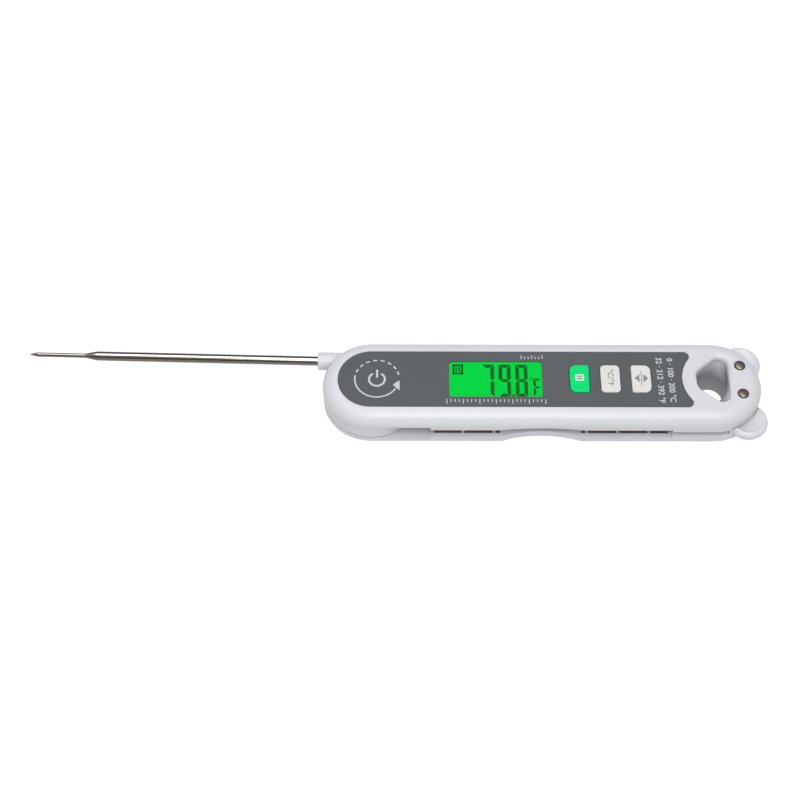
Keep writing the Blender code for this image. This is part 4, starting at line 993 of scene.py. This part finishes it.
class BuildDisplay(bpy.types.Operator):
    """Backlit display with its reading, under a clear window"""
    bl_idname = "thermometer.display"
    bl_label = "Display"

    def execute(self, context):
        s = settings().display
        cx = middle(WINDOW_LOW, WINDOW_HIGH)[0]
        sx = WINDOW_HIGH.x - WINDOW_LOW.x
        sy = WINDOW_HIGH.y - WINDOW_LOW.y
        corners = (1.3 * MM,) * 4
        inset = 0.05 * MM
        face_top = WINDOW_HIGH.z - 0.3 * MM
        glass = plate("display_glass",
                      rounded_rectangle(cx, 0, sx - inset, sy - inset, corners),
                      face_top, WINDOW_LOW.z)
        place(glass, HOUSING, glowing_display("Backlit green", tuple(s.glow)), "display_green",
              "lcd_glass")
        dark = ink("Display segment", tuple(s.segment))
        place(self.reading(face_top), HOUSING, dark, "display_green")
        place(self.badge(face_top), HOUSING, dark, "display_green")
        pane = plate("window_pane", rounded_rectangle(cx, 0, sx, sy, corners),
                     WINDOW_HIGH.z, face_top + 0.1 * MM)
        soften_top(pane, WINDOW_HIGH.z, 0.12 * MM, 3)
        smooth(pane, 40)
        place(pane, HOUSING, clear_window("Clear acrylic"), "clear_window", "lcd_window")
        return {"FINISHED"}

    def digit(self, sign, left, bottom, width, height, stroke):
        """Seven-segment figure with mitred gaps."""
        g = 0.12 * MM
        half = stroke / 2
        x, y = width / 2, height / 2
        inner = x - stroke - g
        end_bar = [(g - x, y), (x - g, y), (inner, y - stroke), (-inner, y - stroke)]
        upright = [(x, y - g), (x, half + g), (x - half, g), (x - stroke, half + g),
                   (x - stroke, y - stroke - g)]
        centre = [(half + g - x, 0), (-inner, half), (inner, half), (x - half - g, 0),
                  (inner, -half), (-inner, -half)]
        segments = {"a": (end_bar, 1, 1), "b": (upright, 1, 1), "c": (upright, 1, -1),
                    "d": (end_bar, 1, -1), "e": (upright, -1, -1), "f": (upright, -1, 1),
                    "g": (centre, 1, 1)}
        shapes = []
        for outline, u, v in (segments[name] for name in SEGMENTS[sign]):
            shapes.append([(left + x + u * px, bottom + y + v * py) for px, py in outline])
        return shapes

    def reading(self, level):
        s = settings().display
        w, h = s.digit_width, s.digit_height
        bottom = -7.6 * MM
        right = (45.2 * MM, 51.3 * MM, 57.5 * MM)
        shapes = []
        for sign, edge in zip("798", right):
            shapes += self.digit(sign, edge - w, bottom, w, h, 1.4 * MM)
        shapes.append(bar(52.1 * MM, bottom + 0.55 * MM, 0.85 * MM, 1.1 * MM))
        shapes += self.digit("F", 59.5 * MM, bottom + 0.2 * MM, 3.0 * MM, 7.8 * MM, 0.95 * MM)
        for start in (0, 180):  # the degree ring, in two halves
            shapes.append(band(58.75 * MM, 0.35 * MM, 0.42 * MM, 0.26 * MM, start,
                               start + 180, 16))
        return flat_print("reading", shapes, level)

    def badge(self, level):
        """Boxed hold sign."""
        cx, cy = 31.85 * MM, 4.45 * MM
        sx, sy, line = 3.9 * MM, 4.5 * MM, 0.8 * MM
        shapes = []
        for side in (1, -1):
            shapes += [bar(cx, cy + side * (sy - line) / 2, sx, line),
                       bar(cx + side * (sx - line) / 2, cy, line, sy),
                       bar(cx + side * 0.55 * MM, cy, 0.6 * MM, 2.2 * MM)]
        return flat_print("hold_badge", shapes, level)


class BuildButtons(bpy.types.Operator):
    """Three keys with softly rounded tops and plain signs"""
    bl_idname = "thermometer.buttons"
    bl_label = "Buttons"

    def execute(self, context):
        s = settings().buttons
        bodies = ("power_button", "hold_button", "unit_button")
        signs = (self.hold_sign, self.unit_sign, self.arrows_sign)
        for i, body, sign in zip((1, 2, 3), bodies, signs):
            node = "button_%d" % i
            lo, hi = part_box(node)
            cx = middle(lo, hi)[0]
            if i == 1:
                look = moulded_plastic("Green key", tuple(s.green), 0.4, 0.0, 0.12)
                slot = "button_green"
            else:
                look = shared("White key", moulded_plastic, tuple(s.white), 0.42, 0.05)
                slot = "button_white"
            place(self.cap(i, cx, lo, hi), body, look, slot, node)
            for printed, print_look in sign(cx, hi.z - 0.01 * MM):
                place(printed, body, print_look, slot)
        return {"FINISHED"}

    def hold_sign(self, cx, top):
        """Two bars on a pale square."""
        square = rounded_rectangle(cx, 0.3 * MM, 3.2 * MM, 2.9 * MM, (0.5 * MM,) * 4)
        bars = [bar(cx, y * MM, 1.8 * MM, 0.5 * MM) for y in (0.85, -0.25)]
        return [(flat_print("hold_square", [square], top),
                 shared("Pale key print", ink, (0.5, 0.55, 0.52))),
                (flat_print("hold_bars", bars, top + 0.02 * MM),
                 shared("Green key print", ink, (0.0, 0.25, 0.08)))]

    def unit_sign(self, cx, top):
        """Both unit symbols, plain."""
        return [(lettering("unit_sign", "°C/°F", 2.9 * MM, (cx, 0.4 * MM), top, 1.12),
                 key_print())]

    def arrows_sign(self, cx, top):
        """A line with an arrowhead each way."""
        tip, foot, half = 2.5 * MM, 0.7 * MM, 1.8 * MM
        shapes = [[(cx + d * tip, 0), (cx + d * foot, d * half), (cx + d * foot, -d * half)]
                  for d in (1, -1)]
        shapes.append(bar(cx, 0, 0.3 * MM, 6.6 * MM))
        return [(flat_print("up_down_sign", shapes, top), key_print())]

    def cap(self, number, cx, lo, hi):
        piece = plate("key_%d" % number, key_outline(number, cx), hi.z, at_depth(2.6 * MM))
        soften_top(piece, hi.z, settings().buttons.edge, 6)
        flange = plate("flange", rounded_rectangle(cx, 0, 9.1 * MM, 13.8 * MM, (1.8 * MM,) * 4),
                       at_depth(2.5 * MM), at_depth(3.2 * MM))
        stem = drum("stem", cx, 0, 1.3 * MM, lo.z, at_depth(3.0 * MM), 48)
        carve(piece, [flange, stem], "UNION")
        return smooth(piece, 40)


def arm_matrix():
    """From the arm drawn straight along -X to its resting turn."""
    return Matrix.Rotation(-OPEN_TURN, 4, "Z")


class BuildHub(bpy.types.Operator):
    """Turning hub with the sleeve that grips the probe"""
    bl_idname = "thermometer.hub"
    bl_label = "Probe hub"

    def execute(self, context):
        p = settings().probe
        outer = 17.8 * MM
        bore = 3.9 * MM
        edge = 0.4 * MM
        profile = [(bore, HUB_HIGH.z)] + arc(outer - edge, HUB_HIGH.z - edge, edge, 90, 0, 4)
        profile += arc(outer - edge, HUB_LOW.z + edge, edge, 0, -90, 4)
        profile += [(bore, HUB_LOW.z), (bore, HUB_HIGH.z)]
        hub = turn("hub_body", profile, (0, 0, 0), steps=144)
        r = p.sleeve_radius
        end, end_edge = 20.9 * MM, 0.5 * MM
        sleeve_profile = [(0, 0), (r, 0)]
        sleeve_profile += arc(r - end_edge, end - end_edge, end_edge, 0, 90, 6) + [(0, end)]
        sleeve = turn("sleeve", sleeve_profile, (0, p.offset, HUB_Z), (-1, 0, 0), 80)
        carve(hub, [sleeve], "UNION")
        hole, start, out = 2 * MM, 4 * MM, 22 * MM
        tunnel = turn("tunnel", [(0, start), (hole, start), (hole, out), (0, out)],
                      (0, p.offset, HUB_Z), (-1, 0, 0), 64)
        carve(hub, [tunnel])
        hub.data.transform(arm_matrix())
        smooth(hub)
        place(hub, ARM, shell_plastic(), "housing_white", "probe_hub")
        return {"FINISHED"}


class BuildProbe(bpy.types.Operator):
    """Polished steel probe: thick shaft, pressed shoulder, thin needle and point"""
    bl_idname = "thermometer.probe"
    bl_label = "Steel probe"

    def execute(self, context):
        p = settings().probe
        shaft, needle = p.shaft_radius, p.needle_radius
        neck = p.shaft_end + p.swage
        end = neck + 17.6 * MM   # of the straight needle, where the point starts
        tip = end + 3.0 * MM
        inside = 5 * MM          # start of the tube, within the sleeve
        shoulder = p.shaft_end - 0.6 * MM
        profile = [(0, inside), (shaft, inside), (shaft, shoulder)]
        for i in range(1, 13):
            t = i / 12
            ease = t * t * (3 - 2 * t)
            profile.append((shaft + (needle - shaft) * (0.35 * t + 0.65 * ease),
                            shoulder + (neck - shoulder) * t))
        profile += [(needle, end), (needle * 0.97, end + 0.3 * MM)]
        profile += [(needle * 0.33, tip - 0.35 * MM), (needle * 0.15, tip - 0.1 * MM), (0, tip)]
        probe = turn("steel_probe", profile, (0, p.offset, HUB_Z), (-1, 0, 0), 96)
        probe.data.transform(arm_matrix())
        smooth(probe, 25)
        steel = drawn_steel("Probe steel with painted reflection", tuple(p.steel), (1, 0, 0), OPEN_TURN, 0.14)
        # painted reflection on the steel: dark all round with one painted bright streak
        self.paint_reflection_bands(steel, p, -p.shaft_end, -neck)
        place(probe, ARM, steel, "probe_steel", "probe_tube")
        return {"FINISHED"}

    def paint_reflection_bands(self, steel, p, shoulder, neck):
        """Painted reflection: a dark tone painted round the tube, leaving one painted bright
        highlight streak along its top.
        """
        axes = steel.axes(OPEN_TURN)
        radius = steel.to_range(axes["X"], p.needle_radius, p.shaft_radius, neck, shoulder)
        front = steel.maths("SUBTRACT", p.offset, axes["Y"])
        across = steel.maths("DIVIDE", front, radius)
        faint = steel.to_range(axes["X"], 0.5, 1.0, neck, shoulder)
        # painted highlight: a bright band along the top of the tube, weaker on the needle
        streak = steel.product(steel.within(across, 0.2, 0.34, 0.2), faint)
        # everything outside the band gets a painted dark reflection tone
        steel.tint(steel.maths("SUBTRACT", 1.0, streak), (0.155, 0.14, 0.126))


class BuildStuds(bpy.types.Operator):
    """Two domed metal studs"""
    bl_idname = "thermometer.studs"
    bl_label = "Studs"

    def execute(self, context):
        metal = drawn_steel("Dark stud metal", (0.17, 0.15, 0.13), (0, 0, 1), 0.0, 0.38)
        for name in ("far", "near"):
            lo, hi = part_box("eye_stud_" + name)
            stem, dome = 0.95 * MM, (hi.x - lo.x) / 2
            step = TOP - 0.2 * MM
            profile = [(0, lo.z), (stem, lo.z), (stem, step), (dome, step)]
            profile += [(dome * u, TOP + (hi.z - TOP) * v)
                        for u, v in arc(0, 0, 1, 0, 90, 12)[:-1]] + [(0, hi.z)]
            stud = turn("stud_" + name, profile, (*middle(lo, hi), 0), steps=72)
            smooth(stud, 50)
            place(stud, HOUSING, metal, "stud_metal", "eye_stud_" + name)
        return {"FINISHED"}


class BuildBatteryDoor(bpy.types.Operator):
    """Round coin-turned door with its slot and four grip dimples"""
    bl_idname = "thermometer.battery_door"
    bl_label = "Battery door"

    def execute(self, context):
        cx, cy = middle(DOOR_LOW, DOOR_HIGH)
        lo, hi = DOOR_LOW.z, DOOR_HIGH.z
        r = (DOOR_HIGH.x - DOOR_LOW.x) / 2
        mid = (lo + hi) / 2
        groove, groove_half = r - 0.9 * MM, 0.5 * MM
        top_edge, bottom_edge = 0.15 * MM, 0.25 * MM
        profile = [(0, hi), (r - top_edge, hi), (r, hi - top_edge), (r, mid + groove_half),
                   (groove, mid + groove_half), (groove, mid - groove_half),
                   (r, mid - groove_half), (r, lo + bottom_edge), (r - bottom_edge, lo),
                   (0, lo)]
        door = turn("battery_lid", profile, (cx, cy, 0), steps=128)
        slot = rounded_rectangle(cx, cy, 12 * MM, 1.8 * MM, (0.88 * MM,) * 4)
        cutters = [plate("coin_slot", slot, lo + 0.8 * MM, lo - OVER)]
        for angle in (60, 120, 240, 300):
            x, y = arc(cx, cy, r - 1.2 * MM, angle, angle, 1)[0]
            cutters.append(drum("grip", x, y, 0.5 * MM, lo - OVER, lo + 0.25 * MM, 24))
        carve(door, cutters)
        smooth(door)
        place(door, "battery_lid", shell_plastic(), "housing_white", "battery_door")
        return {"FINISHED"}


class BuildScrews(bpy.types.Operator):
    """Cross-headed housing screws"""
    bl_idname = "thermometer.screws"
    bl_label = "Screws"

    def execute(self, context):
        plated = drawn_steel("Plated steel", (0.66, 0.64, 0.6), (0, 0, 1), 0.0, 0.3)
        for i in (1, 2, 3, 4):
            lo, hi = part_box("housing_screw_%d" % i)
            cx, cy = middle(lo, hi)
            head, dome, shank, tip = 2.0 * MM, 0.55 * MM, 1.0 * MM, 0.8 * MM
            profile = [(head * v, lo.z + dome * (1 - u)) for u, v in arc(0, 0, 1, 0, 90, 8)]
            profile += [(head, lo.z + tip), (shank, lo.z + tip), (shank, hi.z - tip),
                        (0.5 * MM, hi.z), (0, hi.z)]
            screw = turn("screw_%d" % i, profile, (cx, cy, 0), steps=48)
            arm = 1.1 * MM
            cross = [block("cross", cx - sx, cx + sx, cy - sy, cy + sy, lo.z - OVER,
                           lo.z + 0.5 * MM)
                     for sx, sy in ((arm, 0.22 * MM), (0.221 * MM, arm))]
            carve(screw, cross)
            smooth(screw)
            place(screw, HOUSING, plated, "zinc_steel", "housing_screw_%d" % i)
        return {"FINISHED"}


class DressInnerParts(bpy.types.Operator):
    """Materials of the parts inside the housing, which keep their solid shapes"""
    bl_idname = "thermometer.inner_parts"
    bl_label = "Inner parts"

    def execute(self, context):
        looks = (
            (shared("Black moulding", moulded_plastic, (0.02, 0.02, 0.02), 0.45, 0.0),
             ("lcd_frame", "controller_chip", "tact_switch_1", "tact_switch_2",
              "tact_switch_3", "thermistor")),
            (shared("Black seal rubber", rubber, (0.03, 0.03, 0.03)),
             ("battery_door_seal", "hub_seal_ring")),
            (shared("Grey seal rubber", rubber, (0.2, 0.2, 0.2)),
             ("zebra_strip_far", "zebra_strip_near", "keypad_seal", "housing_gasket")),
            (drawn_steel("Spring steel", (0.7, 0.67, 0.6), roughness=0.25),
             ("coin_cell", "contact_negative", "contact_positive", "pivot_screw",
              "fold_magnet")),
            (shared("Inner clear plastic", clear_window), ("reed_switch", "backlight_guide")),
            (shared("Lamp plastic", moulded_plastic, (0.8, 0.85, 0.7), 0.3, 0.1),
             ("backlight_led",)),
            (shared("Lead insulation", moulded_plastic, (0.45, 0.03, 0.02), 0.4, 0.0),
             ("board_leads", "sensor_leads")),
            (shared("Circuit board", board_laminate), ("circuit_board",)),
        )
        for look, nodes in looks:
            for node in nodes:
                dress_node(node, look)
        return {"FINISHED"}


class BuildStage(bpy.types.Operator):
    """Pale floor, soft studio light and the camera"""
    bl_idname = "thermometer.stage"
    bl_label = "Stage"

    def execute(self, context):
        scene = context.scene
        reach, below = 40.0, 0.02 * MM
        bm = bmesh.new()
        bmesh.ops.create_grid(bm, x_segments=1, y_segments=1, size=reach)
        bmesh.ops.translate(bm, vec=(0, 0, -below), verts=bm.verts)
        floor = finish_mesh(bm, "floor", False)
        look = new_look("Pale floor")
        cloud = look.ramp(look.noise(3), (0.15, 0.15, 0.15), (0.16, 0.16, 0.16))
        look.feed(look.shader, Base_Color=cloud, Roughness=0.9, Emission_Color=(1, 1, 1),
                  Emission_Strength=0.86)
        floor.data.materials.append(look.owner)
        self.lights(scene)
        self.camera(scene)
        return {"FINISHED"}

    def lights(self, scene):
        """Dark towards the horizon, with a pale band at it, and two soft lamps."""
        scene.world = bpy.data.worlds.new("Studio")
        look = Look(scene.world)
        height = look.split(look.add("TexCoord", "Generated"))["Z"]
        sky = look.ramp(height, (0.06, 0.06, 0.063), (1, 1, 1), 0.2, 0.75)
        horizon = look.to_range(height, 1.0, 0.0, 0.1, 0.18)
        look.feed(look.nodes["Background"], Color=look.mix(horizon, sky, (1.4, 1.4, 1.4)),
                  Strength=0.66)
        centre = Vector((0.01, 0, 0))
        for name, spot, size, power in (
                ("Key", Vector((-0.25, 0.15, 0.95)), 0.7, 3.9),
                ("Front", Vector((0.1, -0.45, 0.85)), 0.6, 7.8)):
            lamp = bpy.data.lights.new(name, "AREA")
            lamp.shape = "DISK"
            lamp.size = size
            lamp.energy = power
            light = bpy.data.objects.new(name, lamp)
            light.location = spot
            light.rotation_mode = "QUATERNION"
            light.rotation_quaternion = (centre - spot).to_track_quat("-Z", "Y")
            scene.collection.objects.link(light)

    def camera(self, scene):
        data = bpy.data.cameras.new("Camera")
        data.sensor_width = 36
        data.lens = 69.752
        data.shift_x = -0.0375
        camera = bpy.data.objects.new("Camera", data)
        tilt, roll_turn, distance = math.radians(56.26), math.radians(0.119), 0.56396
        target = Vector((21.606 * MM, -9.392 * MM, TOP))
        back = Vector((0, -math.cos(tilt), math.sin(tilt)))
        turn_to = Matrix.Rotation(math.radians(90) - tilt, 4, "X")
        roll = Matrix.Rotation(roll_turn, 4, "Z")
        camera.matrix_world = Matrix.Translation(target + back * distance) @ turn_to @ roll
        scene.collection.objects.link(camera)
        scene.camera = camera
        scene.view_settings.view_transform = "Standard"


class ThermometerPanel(bpy.types.Panel):
    """Build steps and sizes of the thermometer"""
    bl_idname = "THERMOMETER_PT_panel"
    bl_label = "Folding thermometer"
    bl_space_type = "VIEW_3D"
    bl_region_type = "UI"
    bl_category = "Thermometer"

    def draw(self, context):
        layout = self.layout
        for step in STEPS:
            layout.operator(step.bl_idname)
        for group in ("shell", "label", "display", "buttons", "probe"):
            values = getattr(context.scene.thermometer, group)
            box = layout.box()
            box.label(text=group.title())
            for field in values.bl_rna.properties:
                if field.identifier not in {"rna_type", "name"}:
                    box.prop(values, field.identifier)


STEPS = (BuildFrontShell, BuildBackCover, BuildLabel, BuildDisplay, BuildButtons, BuildHub,
         BuildProbe, BuildStuds, BuildBatteryDoor, BuildScrews, DressInnerParts, BuildStage)
GROUPS = (ShellSettings, LabelSettings, DisplaySettings, ButtonSettings, ProbeSettings,
          ThermometerSettings)


def register():
    for group in GROUPS:
        bpy.utils.register_class(group)
    bpy.types.Scene.thermometer = bpy.props.PointerProperty(type=ThermometerSettings)
    for step in STEPS:
        bpy.utils.register_class(step)
    bpy.utils.register_class(ThermometerPanel)


def unregister():
    bpy.utils.unregister_class(ThermometerPanel)
    for step in reversed(STEPS):
        bpy.utils.unregister_class(step)
    del bpy.types.Scene.thermometer
    for group in reversed(GROUPS):
        bpy.utils.unregister_class(group)


def main():
    register()
    for step in STEPS:
        family, name = step.bl_idname.split(".")
        getattr(getattr(bpy.ops, family), name)()
    bpy.context.view_layer.update()


if __name__ == "__main__":
    main()
